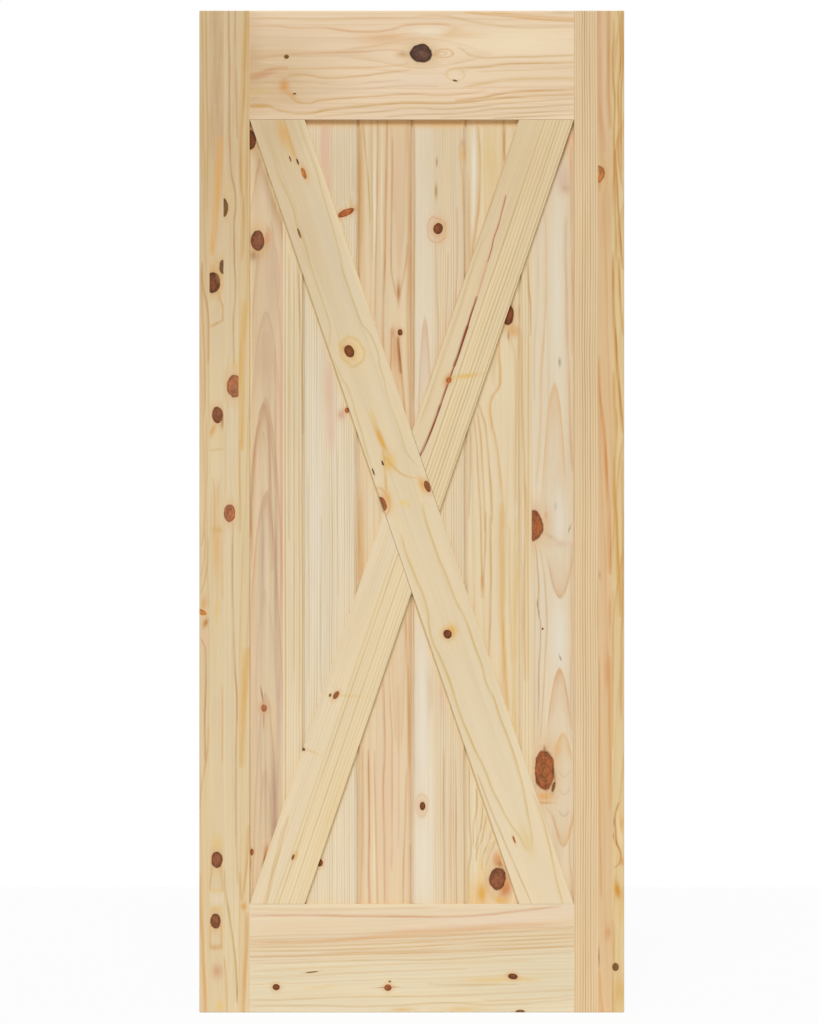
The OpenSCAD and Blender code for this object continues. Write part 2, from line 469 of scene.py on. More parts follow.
def bent_across(board, knots):
    """The across-grain axis, pushed aside by the knots."""
    across = board.v
    for knot in knots:
        half_wide = knot.wide / 2 * PUSH_WIDE
        near = board.oval(board.spot, knot, knot.long / 2 * PUSH_LONG, half_wide)
        shift = split(near)[1] * length_squared(near).fade() * (half_wide * PUSH)
        across = across - kept_in_strip(board, board.at(knot.x, knot.z)[1], shift)
    return across


print("grain bends round knots")

# %% [markdown]
# The rings themselves: a tree grows a pale band in spring and a dark line in late summer. A point's
# distance from the heart of the log, counted in rings, says where in the year it grew. On a board sawn
# near the heart these rings come out as arches, and further out as straight lines, both from one formula.
# The Wave texture also draws rings, but its lines are all alike; here each year has its own strength.

# %% Growth rings
SLOW_SWAY = 2.2
SMALL_SWAY = 0.6
YEARS_DIFFER = 0.9
LINES_WANDER = 0.24
SUMMER = (0.15, 0.92)
SUMMER_SHARE = 0.35
LINE_PEAK = 0.91
LINE_SHARE = 0.65
WINTER = (0.94, 1.0)
FAINTEST_YEAR = 0.25
YEAR_SPREAD = 0.85
PATCH_SPREAD = 1.2
PATCH_MIDDLE = 0.95


def swayed(board, across, strips):
    """The across-grain axis with the slow and the small waves of a grown trunk."""
    sway = per_strip(board, [strip.sway for strip in strips])
    slow = noise(board.stock, long=520.0, wide=150.0, seed=3.0, detail=1.0) * SLOW_SWAY
    small = noise(board.stock, long=110.0, wide=38.0, seed=7.0, detail=1.0) * SMALL_SWAY
    return across + (slow + small) * sway


def ring_turns(board, strips, swells):
    """How many rings lie between an arch's tip and each place on the board."""
    tips = [board.at(*strip.tip) for strip in strips]
    heart = per_strip(board, [v for u, v in tips])
    start = per_strip(board, [u for u, v in tips])
    ring = per_strip(board, [strip.ring for strip in strips])
    climb = per_strip(board, [strip.ring / strip.step for strip in strips])
    depth = per_strip(board, [strip.depth for strip in strips])
    deep = (board.u - start) * climb + depth - board.w
    radius = ((board.grain_v - heart).squared() + deep.squared()).root()
    turns = (radius - depth) / ring
    for swell in swells:
        lift = length_squared(board.oval(board.spot, swell, swell.long, swell.wide)).fade() * swell.rings
        turns = turns - kept_in_strip(board, board.at(swell.x, swell.z)[1], lift)
    return turns


def late_wood(board, strips, turns, seed):
    """The dark late-summer lines from 0 to 1, and a random number for each year."""
    still = board.w * 0.0
    by_year = noise(joined(turns, still, still), long=2.2, wide=1.0, seed=seed, detail=1.0)
    by_place = noise(board.stock, long=200.0, wide=14.0, seed=seed + 5.0, detail=1.0)
    uneven = turns + by_year * YEARS_DIFFER + by_place * LINES_WANDER
    year = uneven.do("FLOOR")
    season = uneven - year
    sharp = per_strip(board, [strip.sharp for strip in strips])
    shade = season.ramp(*SUMMER) * SUMMER_SHARE + season.ramp(sharp, LINE_PEAK) * LINE_SHARE
    line = shade * (1.0 - season.ramp(*WINTER))
    chance = dice(year, seed)
    patchy = noise(board.stock, long=170.0, wide=12.0, seed=seed + 9.0) * PATCH_SPREAD + PATCH_MIDDLE
    return line * (chance * YEAR_SPREAD + FAINTEST_YEAR) * patchy, chance


print("rings ready")

# %% [markdown]
# Pine is also stained by its own resin and heartwood: pink and mauve bands, ochre patches, pale wood. A
# stain is a soft oval, long along the grain, that tints the wood under it. The same ovals also paint a
# little shade and light on a few planks, and each of these is marked where it stands. An arch is how
# flat-sawn wood shows a single year: a parabola with a crisp outer edge that fades inwards, broad at its
# tip and thin along its arms. Both are broken up by noise so that no edge is drawn too clean.

# %% Stains and arches
class Stain(NamedTuple):
    x: float
    z: float
    long: float
    wide: float
    colour: tuple
    share: float = 0.6
    turn: float = 0.0
    front_only: bool = False


class Arch(NamedTuple):
    x: float
    z: float
    reach: float
    half: float
    thick: float
    colour: tuple
    share: float = 0.6
    arms: float = 2.5
    turn: float = 0.0


TINT_DEPTH = (4.0, 8.0)
RAGGED_STAIN = 1.3
RAGGED_ARCH = 1.0
ARCH_EDGE = (-0.25, 0.05)
ARMS_FADE_FROM = 0.5


def front(board):
    """1 at the face of a board and 0 at its back."""
    return 1.0 - board.w.ramp(*TINT_DEPTH)


def stained(board, stains, colour):
    """The wood colour with its stains laid over it one after the other."""
    ragged = noise(board.stock, long=90.0, wide=8.0, seed=21.0) * RAGGED_STAIN + 1.0
    for stain in stains:
        near = board.oval(board.drawn, stain, stain.long, stain.wide)
        share = length_squared(near).fade() * ragged * stain.share
        share = kept_in_strip(board, board.at(stain.x, stain.z)[1], share)
        if stain.front_only:
            share = share * front(board)
        colour = blend(board.tree, share, colour, wood_colour(*stain.colour))
    return colour


def arched(board, arches, colour):
    """The wood colour with single arches of late wood drawn on it."""
    ragged = noise(board.stock, long=60.0, wide=10.0, seed=23.0) * RAGGED_ARCH + 1.0
    for arch in arches:
        along, side, _ = split(board.oval(board.drawn, arch, arch.reach, arch.half))
        inside = (along - side.squared()) * (abs(arch.reach) / arch.thick)
        share = inside.ramp(*ARCH_EDGE) * inside.do("MAXIMUM", 0.0).fade()
        share = share * (1.0 - along.ramp(arch.arms * ARMS_FADE_FROM, arch.arms)) * ragged * arch.share
        share = kept_in_strip(board, board.at(arch.x, arch.z)[1], share)
        colour = blend(board.tree, share, colour, wood_colour(*arch.colour))
    return colour


print("stains and arches ready")

# %% [markdown]
# The lines that give a board its face are single veins of late wood, which wander as no formula does. The
# same lines also paint some light: the warm glow beside the braces and a painted highlight along the long
# brace's edge.
# Each is drawn through a few points. A Float Curve node turns the place along the board into the place
# across it where the vein runs, and a second one lets the vein swell in at its start and thin out at its
# end. A ring is a vein that closes round a knot.

# %% Veins and rings
class Vein(NamedTuple):
    colour: tuple
    thick: float
    share: float
    points: tuple
    front_only: bool = False


class Ring(NamedTuple):
    x: float
    z: float
    long: float
    wide: float
    thick: float
    colour: tuple
    share: float = 0.6
    turn: float = 0.0


VEIN_ENDS = ((0.0, 0.0), (0.1, 1.0), (0.9, 1.0), (1.0, 0.0))
VEIN_SOFT_SIDE = 0.42
VEIN_FADE = 0.75
VEIN_STRENGTH = 0.68
RAGGED_VEIN = 1.5
RAGGED_RING = 1.2
UNEVEN_RING = 0.6


def followed(field, points):
    """A smooth curve through points: its height where the field is the way along it."""
    node = field.tree.nodes.new("ShaderNodeFloatCurve")
    plug(node.inputs["Value"], field)
    first, *others, last = points
    curve = node.mapping.curves[0]
    curve.points[0].location = first
    curve.points[1].location = last
    for place in others:
        curve.points.new(*place)
    node.mapping.update()
    return Field(node.outputs["Value"])


def veined(board, veins, colour):
    """The wood colour with its veins drawn on it."""
    ragged = noise(board.stock, long=120.0, wide=6.0, seed=27.0) * RAGGED_VEIN + VEIN_STRENGTH
    for vein in veins:
        path = sorted(board.at(*point) for point in vein.points)
        start, end = path[0][0], path[-1][0]
        side = min(v for u, v in path)
        span = max(max(v for u, v in path) - side, 1.0)
        along = board.u.ramp(start, end, "LINEAR")
        course = followed(along, [((u - start) / (end - start), (v - side) / span) for u, v in path])
        off = (board.wavy_v - course.do("MULTIPLY_ADD", span, side)) / (vein.thick * VEIN_FADE)
        off = off.do("MAXIMUM", off * -VEIN_SOFT_SIDE)
        share = off.squared().fade() * followed(along, VEIN_ENDS) * ragged * vein.share
        share = kept_in_strip(board, sum(v for u, v in path) / len(path), share)
        if vein.front_only:
            share = share * front(board)
        colour = blend(board.tree, share, colour, wood_colour(*vein.colour))
    return colour


def ringed(board, rings, colour):
    """The wood colour with closed rings drawn on it."""
    ragged = noise(board.stock, long=14.0, wide=9.0, seed=29.0) * RAGGED_RING + 1.0
    uneven = noise(board.spot, long=30.0, wide=22.0, seed=37.0) * UNEVEN_RING + 1.0
    for ring in rings:
        far = length(board.oval(board.drawn, ring, ring.long, ring.wide)) * uneven
        off = (far - 1.0) * (ring.wide / ring.thick)
        share = off.squared().fade() * ragged * ring.share
        share = kept_in_strip(board, board.at(ring.x, ring.z)[1], share)
        colour = blend(board.tree, share, colour, wood_colour(*ring.colour))
    return colour


print("veins and rings ready")

# %% [markdown]
# The face of a knot: a brown heart with fine rings and mottling, a darker rim of bark, a bright edge and
# a halo of resin in the wood around it. All of that follows from the distance to its middle, so one Color
# Ramp holds it, and its alpha lets the halo melt into the wood. Live branches leave amber to red knots,
# dead ones brown to black ones, and the smallest are pins. The distance is shaken by noise, since no knot
# is a clean oval.

# %% Knot faces
KNOT_TONES = {
    "light": (
        (176, 116, 78), (166, 102, 66), (172, 108, 70),
        (142, 82, 52), (216, 166, 112), (224, 186, 136),
    ),
    "red": (
        (160, 100, 60), (152, 86, 46), (158, 92, 50),
        (128, 68, 36), (216, 160, 98), (224, 184, 128),
    ),
    "brown": (
        (142, 90, 60), (136, 84, 52), (130, 76, 46),
        (106, 60, 36), (214, 162, 102), (224, 188, 132),
    ),
    "dark": (
        (128, 72, 38), (124, 70, 34), (112, 60, 28),
        (86, 45, 21), (212, 158, 92), (224, 188, 126),
    ),
    "black": (
        (112, 80, 64), (94, 64, 50), (88, 58, 44),
        (54, 32, 22), (206, 166, 114), (224, 194, 146),
    ),
    "pin": (
        (118, 80, 42), (128, 90, 50), (120, 82, 44),
        (112, 74, 40), (208, 172, 118), (224, 194, 148),
    ),
    "orange": (
        (160, 86, 38), (174, 100, 48), (166, 90, 40),
        (138, 70, 30), (216, 164, 100), (224, 186, 128),
    ),
    "amber": (
        (200, 136, 74), (192, 124, 62), (186, 116, 56),
        (164, 98, 46), (220, 176, 116), (226, 190, 136),
    ),
}
KNOT_REACH = 2.4
KNOT_STOPS = (0.0, 0.16, 0.30, 0.385, 0.44, 1.0)
KNOT_COVER = (1.0, 1.0, 1.0, 1.0, 0.4, 0.0)
KNOT_SLANT = 14.0
KNOT_YEARS = 75.0
KNOT_YEAR_SHARE = 0.13
KNOT_SHAKE = 0.4
KNOT_CRUMBLE = 0.04
KNOT_SPECKLE = 1.4
KNOT_PATCHES = 1.2
KNOT_WARMTH = 0.7
KNOT_SURE = (0.85, 1.0)


def knot_ramp(far, kind):
    """A knot's colour and cover by the distance from its middle, 1 at the end of its halo."""
    node = far.tree.nodes.new("ShaderNodeValToRGB")
    plug(node.inputs["Fac"], far)
    stops = node.color_ramp.elements
    for place in KNOT_STOPS[1:-1]:
        stops.new(place)
    for stop, tone, cover in zip(stops, KNOT_TONES[kind], KNOT_COVER):
        stop.color = (*wood_colour(*tone)[:3], cover)
    return Field(node.outputs["Color"]), Field(node.outputs["Alpha"])


def knot_faces(board, knots, colour):
    """The wood colour with the knots drawn on it, and a field that is 1 on the knots."""
    shake = noise(board.spot, long=26.0, wide=20.0, seed=31.0) * KNOT_SHAKE + 1.0
    crumble = noise(board.spot, long=5.0, wide=4.0, seed=33.0) * KNOT_CRUMBLE
    speckle = noise(board.spot, long=9.0, wide=5.0, seed=35.0, detail=3.0) * KNOT_SPECKLE
    mottle = speckle + noise(board.spot, long=26.0, wide=14.0, seed=39.0) * KNOT_PATCHES
    warmth = noise(board.spot, long=18.0, wide=12.0, seed=41.0) * KNOT_WARMTH
    covered = board.w * 0.0
    for number, knot in enumerate(knots):
        slant = KNOT_SLANT if number % 2 else -KNOT_SLANT
        halo = (knot.long / 2 * KNOT_REACH, knot.wide / 2 * KNOT_REACH)
        far = length(board.oval(board.spot, knot, *halo, slant)) * shake + crumble
        face, cover = knot_ramp(far, knot.kind)
        years = ((far * KNOT_YEARS).do("SINE") * KNOT_YEAR_SHARE + mottle) * cover + 1.0
        warm = warmth * cover
        face = tinted(face, years + warm, years, years - warm)
        cover = kept_in_strip(board, board.at(knot.x, knot.z)[1], cover)
        colour = blend(board.tree, cover, colour, face)
        covered = covered + cover.ramp(*KNOT_SURE)
    return colour, covered


print("knot kinds", sorted(KNOT_TONES))

# %% [markdown]
# Now everything meets in one finish. The ring lines set the colour between pale and dark, slow clouds and
# fine fibres vary its tone and warmth, stains, arches, veins and knots go on top, and the ends of the
# boards are darker because cut fibres drink in light. The planed surface is matt, a little smoother on
# the late wood, and its bump has the fibres, a few hundredths of a millimetre high, as a planer leaves
# them.

# %% The pine finish
BLUSH = (216, 174, 132)
BOARD_STEP = 377.0
STRIP_STEP = 613.0
WAVE_HEIGHT = 3.5
CLOUD_SHARE = 0.15
FIBRE_SHARE = 0.10
WARM_GREEN = 0.06
WARM_BLUE = 0.22
END_GRAIN_DARK = 0.22
ROUGHNESS = 0.64
FIBRE_ROUGH = 0.25
LATE_SMOOTH = 0.10
KNOT_SMOOTH = 0.14
MATT_SHINE = 0.2
FIBRE_HEIGHT = 0.12
BUMP_STRENGTH = 0.6


def planed(board, colour, fibre, late, on_knot):
    """The shader of planed wood, put on the board."""
    tree = board.tree
    surface = tree.nodes.new("ShaderNodeBsdfPrincipled")
    tree.links.new(colour.socket, surface.inputs["Base Color"])
    smooth = late * LATE_SMOOTH + on_knot * KNOT_SMOOTH
    plug(surface.inputs["Roughness"], fibre * FIBRE_ROUGH - smooth + ROUGHNESS)
    surface.inputs["Specular IOR Level"].default_value = MATT_SHINE
    bump = tree.nodes.new("ShaderNodeBump")
    bump.inputs["Strength"].default_value = BUMP_STRENGTH
    bump.inputs["Distance"].default_value = MM
    plug(bump.inputs["Height"], fibre * FIBRE_HEIGHT)
    tree.links.new(bump.outputs["Normal"], surface.inputs["Normal"])
    out = tree.nodes.new("ShaderNodeOutputMaterial")
    tree.links.new(surface.outputs["BSDF"], out.inputs["Surface"])
    mesh = nodes[board.name].data
    mesh.materials.clear()
    mesh.materials.append(board.material)


def pine(name, middle, lean, face, seed, strips, glue=(), melt=GLUE_LINE, blush=0.4, streaks=0.15,
         knots=(), swells=(), stains=(), arches=(), veins=(), rings=()):
    """Builds one board's material and puts it on the board."""
    board = Board(name, middle, lean, face)
    tree = board.tree
    lay_strips(board, glue, melt)
    strip_step = STRIP_STEP if board.glued else 0.0
    offsets = [seed * BOARD_STEP + strip_step * number for number in range(len(strips))]
    board.spot = joined(board.u, board.v, board.w)
    board.stock = joined(board.u + per_strip(board, offsets), board.v, board.w)
    board.wavy_v = noise(board.stock, long=110.0, wide=30.0, seed=15.0) * WAVE_HEIGHT + board.v
    board.drawn = joined(board.u, board.wavy_v, 0.0)
    board.grain_v = swayed(board, bent_across(board, knots), strips)
    turns = ring_turns(board, strips, swells)
    late, chance = late_wood(board, strips, turns, seed)
    pale = strip_colour(board, [strip.pale for strip in strips])
    dark = strip_colour(board, [strip.dark for strip in strips])
    dark = blend(tree, chance * blush, dark, wood_colour(*BLUSH))
    colour = blend(tree, late * per_strip(board, [strip.line for strip in strips]), pale, dark)
    cloud = noise(board.stock, long=420.0, wide=34.0, seed=seed + 11.0, detail=1.0)
    streak = noise(board.stock, long=210.0, wide=3.0, seed=seed + 13.0)
    fibre = noise(board.stock, long=38.0, wide=0.9, seed=seed + 17.0)
    warmth = noise(board.stock, long=260.0, wide=22.0, seed=seed + 19.0)
    tone = cloud * CLOUD_SHARE + streak * streaks + fibre * FIBRE_SHARE + 1.0
    colour = tinted(colour, tone, tone - warmth * WARM_GREEN, tone - warmth * WARM_BLUE)
    colour = arched(board, arches, stained(board, stains, colour))
    colour = ringed(board, rings, veined(board, veins, colour))
    colour, on_knot = knot_faces(board, knots, colour)
    ends = 1.0 - board.end_grain * END_GRAIN_DARK
    planed(board, tinted(colour, ends, ends, ends), fibre, late, on_knot)
    print(name, len(strips), "strips", len(knots), "knots", len(veins), "veins", len(tree.nodes), "nodes")


print("pine finish ready")

# %% [markdown]
# The colours of veins and stains that come up again and again have names, as a painter's tubes have. The
# others are mixed for one place. Now the boards follow, each with its strips, and with its knots, stains
# and veins where the real ones are, in millimetres from the middle and the foot of the door.

# %% Pine colours
OCHRE = (204, 158, 94)
GOLD = (198, 140, 62)
OLIVE = (196, 160, 100)
ORANGE = (212, 152, 80)
BROWN = (184, 130, 78)
RUST = (196, 142, 104)
MAUVE = (194, 158, 136)
TAN = (216, 178, 126)
CREAM = (234, 220, 194)
YELLOW = (224, 190, 122)
print("a vein in ochre is", [round(value, 3) for value in wood_colour(*OCHRE)])

# %% [markdown]
# The left stile is glued up from four strips. The middle two carry a row of brown knots, some of them cut
# in half at a glue line, and the outer ones have ochre streaks. Below two of the knots the grain closes
# into small boxes, drawn here with veins at their sides and stains across their ends.

# %% Left stile
UPRIGHT = 0.0

pine(
    "left_stile", (-399.0, 1067.0), UPRIGHT, FRONT, 1.0,
    glue=((-431.0, 0.0), (-401.0, 0.0), (-369.0, 0.0)),
    strips=(
        Strip((-475, 900), 420, 8, 45, (221, 197, 154), (200, 160, 106), 0.5, 7),
        Strip((-416, 1110), 420, 12, 70, (222, 200, 160), (210, 176, 126), 0.4, 7),
        Strip((-500, 1000), 900, 9, 60, (223, 203, 165), (206, 170, 118), 0.4, 5, 0.78),
        Strip((-320, 500), 320, 9, 40, (222, 199, 156), (206, 166, 112), 0.45, 6),
    ),
    knots=(
        Knot(-400.5, 1714, 38, 20, "pin"),
        Knot(-424, 1555, 46, 30, "dark"),
        Knot(-402, 1588, 30, 17, "pin"),
        Knot(-376.5, 1334, 48, 34, "light"),
        Knot(-414, 1273, 34, 24, "brown"),
        Knot(-388, 1064, 37, 25, "light"),
        Knot(-448, 853, 11, 22, "amber", 24),
        Knot(-415, 325, 35, 24, "brown"),
        Knot(-418, 195, 31, 23, "brown"),
    ),
    stains=(
        Stain(-442, 1900, 420, 30, (200, 168, 120), 0.5),
        Stain(-415, 2000, 330, 30, (194, 158, 116), 0.7),
        Stain(-385, 1900, 420, 30, (200, 168, 124), 0.5),
        Stain(-357, 1900, 420, 30, (204, 170, 116), 0.45),
        Stain(-416, 1572, 34, 20, (216, 164, 100), 0.55),
        Stain(-392, 1730, 34, 8, YELLOW, 0.5),
        Stain(-416, 1467.5, 2.8, 15, OCHRE, 0.8, -28),
        Stain(-378, 1378, 18, 7, YELLOW, 0.7),
        Stain(-404, 1260, 16, 4, (158, 120, 80), 0.8),
        Stain(-425, 1240, 15, 5, (212, 150, 76), 0.7, 20),
        Stain(-410, 1222, 26, 14, YELLOW, 0.35),
        Stain(-416, 1199, 2.6, 16, TAN, 0.8, -8),
        Stain(-415, 1028, 7, 12, (200, 162, 84), 0.6),
        Stain(-415, 990, 80, 8, (220, 178, 116), 0.8),
        Stain(-415, 858, 26, 7, YELLOW, 0.6),
        Stain(-439, 830, 10, 5, (192, 124, 56), 0.9, 20),
        Stain(-442, 872, 14, 7, (216, 160, 92), 0.6),
        Stain(-440, 790, 22, 9, (226, 186, 152), 0.6),
        Stain(-414, 362, 16, 13, YELLOW, 0.7),
        Stain(-413, 260, 4, 16, YELLOW, 0.8),
        Stain(-413, 242, 14, 14, CREAM, 0.4),
        Stain(-416, 221, 4, 16, YELLOW, 0.7),
        Stain(-417, 139, 6, 14, (208, 162, 104), 0.8),
        Stain(-414, 88, 15, 12, (206, 156, 116), 0.8),
        Stain(-408, 14, 14, 10, YELLOW, 0.7),
        Stain(-371.5, 44, 20, 1.2, (110, 76, 50), 0.7),
        Stain(-358, 226, 9, 6, ORANGE, 0.8),
    ),
    veins=(
        Vein(OLIVE, 1.5, 0.8, ((-446, 2180), (-445, 2000), (-443, 1850), (-440, 1790), (-444, 1700))),
        Vein(OLIVE, 1.5, 0.8, ((-437, 2180), (-437, 2000), (-433.5, 1880), (-434, 1790), (-438, 1700))),
        Vein(GOLD, 1.6, 0.7, ((-447, 1590), (-446, 1500), (-443, 1440), (-440, 1350), (-441, 1260))),
        Vein(BROWN, 1.5, 0.8, ((-446, 1600), (-444, 1550), (-436, 1510), (-432.5, 1470), (-432.5, 1380))),
        Vein(OCHRE, 1.6, 0.7, ((-437, 1270), (-436, 1150), (-440, 1060), (-448, 990))),
        Vein(OLIVE, 1.6, 0.8, ((-452, 890), (-447, 900), (-439, 930), (-434, 965), (-433, 1010))),
        Vein(OLIVE, 1.4, 0.6, ((-452, 925), (-445, 945), (-440, 985), (-440, 1030))),
        Vein(
            BROWN, 1.4, 0.8,
            ((-453, 802), (-444, 787), (-438, 768), (-438, 700), (-440, 600), (-438, 530)),
        ),
        Vein(OCHRE, 1.8, 0.7, ((-432, 610), (-434, 560), (-440, 520), (-447, 480), (-451, 430))),
        Vein(ORANGE, 2.8, 0.8, ((-450, 300), (-448, 200), (-444, 120), (-440, 60), (-436, -40))),
        Vein(
            (220, 168, 98), 6.0, 1.1,
            ((-404, 1868), (-408, 1800), (-413, 1730), (-419, 1660), (-425, 1610)),
        ),
        Vein(OCHRE, 1.6, 0.9, ((-413, 1538), (-408, 1520), (-402, 1500), (-402, 1472))),
        Vein(OCHRE, 1.5, 0.5, ((-428, 1140), (-420, 1118), (-419, 1060), (-423, 1000))),
        Vein(OCHRE, 1.5, 0.5, ((-402, 1140), (-410, 1120), (-412, 1080))),
        Vein(TAN, 1.8, 0.7, ((-404, 1030), (-403, 950), (-402, 880))),
        Vein(ORANGE, 1.4, 0.6, ((-404, 700), (-403, 610), (-404, 530))),
        Vein(OCHRE, 2.0, 0.7, ((-424, 316), (-427, 290), (-430, 258))),
        Vein(OCHRE, 2.0, 0.7, ((-407, 316), (-404, 290), (-402, 256))),
        Vein(OCHRE, 2.0, 0.7, ((-427, 188), (-429, 165), (-427, 136))),
        Vein(OCHRE, 2.0, 0.7, ((-408, 188), (-404, 165), (-407, 136))),
        Vein(
            (188, 138, 84), 1.6, 0.85,
            ((-389, 2180), (-388, 2000), (-387, 1870), (-385, 1800), (-377, 1755), (-374, 1720),
             (-378, 1680), (-377, 1600), (-375, 1540), (-379, 1480), (-380, 1430), (-377, 1375)),
        ),
        Vein(RUST, 1.5, 0.8, ((-375, 2180), (-375, 2050), (-373, 1960), (-370.5, 1860))),
        Vein(
            (186, 136, 80), 1.6, 0.8,
            ((-380, 1045), (-381, 930), (-379, 830), (-375, 720), (-372, 640), (-374, 540), (-374, 420),
             (-372, 330), (-370.5, 270)),
        ),
        Vein(OLIVE, 1.9, 0.9, ((-399, 305), (-396, 255), (-388, 205), (-380, 150), (-374, 90), (-372, 20))),
        Vein(OCHRE, 1.9, 0.7, ((-400, 120), (-396, 90), (-394, 50), (-393, -30))),
        Vein(TAN, 1.6, 0.5, ((-391, 1300), (-394, 1240), (-396, 1180), (-395, 1100))),
        Vein(
            (198, 150, 84), 2.6, 0.85,
            ((-352, 2180), (-355, 2000), (-360, 1900), (-364, 1820), (-362, 1760), (-358, 1700),
             (-361, 1600)),
        ),
        Vein(OCHRE, 2.0, 0.7, ((-348, 2180), (-348, 1950), (-350, 1800), (-349, 1640), (-350, 1510))),
        Vein(
            (216, 174, 102), 6.0, 1.1,
            ((-350, 1520), (-356, 1460), (-360, 1400), (-361, 1300), (-361, 1195)),
        ),
        Vein(OCHRE, 1.8, 0.7, ((-367, 1220), (-366, 1150), (-365, 1080), (-366, 1020))),
        Vein((216, 174, 106), 6.5, 1.1, ((-348, 780), (-351, 720), (-356, 660), (-359, 600), (-362, 520))),
        Vein(OCHRE, 2.6, 0.8, ((-346, 400), (-350, 330), (-355, 280), (-361, 238))),
        Vein(OCHRE, 2.0, 0.7, ((-366, 300), (-364, 262), (-360, 236))),
        Vein((206, 154, 88), 3.6, 0.85, ((-349, 215), (-351, 130), (-356, 50), (-358, -40))),
    ),
)

# %% [markdown]
# The right stile has three strips: a quiet one of close straight grain along the panel, a pinkish one
# with an orange streak, and a wild golden one at the outer edge whose veins wind round a hidden branch.

# %% Right stile
pine(
    "right_stile", (399.0, 1067.0), UPRIGHT, FRONT, 2.0, blush=0.2,
    glue=((397.0, 0.0), (426.0, 0.0)),
    strips=(
        Strip((90, 1000), 1500, 5.4, 60, (228, 201, 159), (176, 134, 84), 1, 3.5, 0.5),
        Strip((380, 900), 600, 11, 60, (221, 188, 143), (206, 160, 106), 0.55, 6),
        Strip((460, 800), 230, 8, 55, (223, 197, 148), (200, 154, 86), 0.6, 9),
    ),
    knots=(
        Knot(397.5, 1786, 36, 28, "amber", 6),
        Knot(434, 97, 17, 14, "pin"),
    ),
    stains=(
        Stain(412, 2010, 110, 4, (226, 196, 164), 0.7),
        Stain(400, 1766, 16, 3, (196, 126, 64), 0.8),
        Stain(412, 1690, 60, 16, (212, 168, 118), 0.5),
        Stain(416, 730, 40, 6, (212, 150, 92), 0.7),
        Stain(400, 932, 9, 2.6, (200, 146, 96), 0.7),
        Stain(422, 850, 40, 4, (208, 148, 88), 0.6),
        Stain(418, 170, 16, 7, (210, 152, 102), 0.7),
        Stain(398.5, 118, 20, 1.6, (146, 94, 54), 0.8),
        Stain(444, 390, 36, 8, (236, 214, 166), 0.8),
        Stain(447, 402, 22, 4.5, (214, 158, 82), 0.7),
        Stain(448, 322, 10, 4, (210, 148, 70), 0.8),
        Stain(439, 260, 20, 7.5, (206, 146, 54), 1, -12),
        Stain(444, 215, 26, 6, (222, 184, 116), 0.6),
        Stain(442, 45, 30, 9, (210, 164, 86), 0.7),
        Stain(431, 406, 12, 1.4, (146, 88, 44), 0.8),
        Stain(430, 376, 8, 1.2, (160, 96, 50), 0.7),
    ),
    veins=(
        Vein((212, 158, 118), 4.0, 0.9, ((401, 2180), (401, 2020), (402, 1940), (407, 1880), (412, 1830))),
        Vein((200, 148, 88), 3.0, 0.8, ((420, 2180), (420, 2050), (420, 1980), (423, 1910), (425, 1880))),
        Vein(
            (206, 136, 66), 3.4, 0.9,
            ((399, 1400), (401, 1330), (407, 1270), (413, 1200), (418, 1120), (421, 1060), (423, 1000),
             (424, 930)),
        ),
        Vein(
            (196, 140, 84), 2.2, 0.7,
            ((399, 760), (399.5, 640), (399, 520), (401, 420), (403, 330), (404, 240)),
        ),
        Vein((212, 152, 88), 2.6, 0.7, ((424, 760), (423, 640), (424, 540), (423, 430))),
        Vein(ORANGE, 2.2, 0.7, ((400, 90), (404, 40), (409, -30))),
        Vein(
            GOLD, 1.9, 0.9,
            ((437, 2180), (443, 2105), (446, 2070), (444, 2010), (440, 1950), (441, 1900), (440, 1850),
             (445, 1790), (451, 1750)),
        ),
        Vein(
            (196, 146, 76), 2.0, 0.9,
            ((430, 2120), (431, 2080), (428, 2030), (430, 1980), (433, 1940), (431, 1880), (432, 1800),
             (434, 1700), (437, 1600)),
        ),
        Vein(
            GOLD, 1.8, 0.9,
            ((446, 2180), (449, 2100), (450, 2050), (449, 1990), (446, 1930), (446, 1860), (450, 1790)),
        ),
        Vein((190, 132, 58), 2.0, 0.95, ((433, 1840), (438, 1760), (441, 1700), (445, 1640), (450, 1580))),
        Vein(
            (194, 134, 54), 2.6, 1.0,
            ((427.5, 1620), (430, 1540), (432, 1480), (436, 1420), (441, 1350), (446, 1290),
             (451, 1230)),
        ),
        Vein(GOLD, 2.0, 0.8, ((440, 1610), (443, 1560), (446, 1500), (451, 1440))),
        Vein(
            (206, 150, 68), 3.6, 0.9,
            ((430, 1370), (432, 1300), (436, 1250), (434, 1200), (432, 1150), (433, 1100), (436, 1060),
             (438, 1020), (441, 960), (444, 900), (446, 840)),
        ),
        Vein(GOLD, 2.0, 0.7, ((449, 1180), (449, 1100), (450, 1000), (449, 860), (447, 740), (450, 620))),
        Vein((204, 156, 88), 2.0, 0.7, ((430, 900), (430, 780), (428, 700), (428, 560))),
        Vein(
            (186, 124, 54), 1.8, 0.95,
            ((449, 450), (438, 436), (434, 415), (435, 390), (436, 365), (442, 350), (446, 335),
             (444, 320), (437, 312), (429, 306)),
        ),
        Vein(GOLD, 2.0, 0.7, ((428, 200), (431, 140), (429, 60), (431, -30))),
    ),
)

# %% [markdown]
# The top rail has the door's darkest knot. Its veins run level at the right, part around the knot, and at
# the left end turn back on themselves in a swirl where a second branch lies just under the face.

# %% Top rail
LEVEL = 90.0

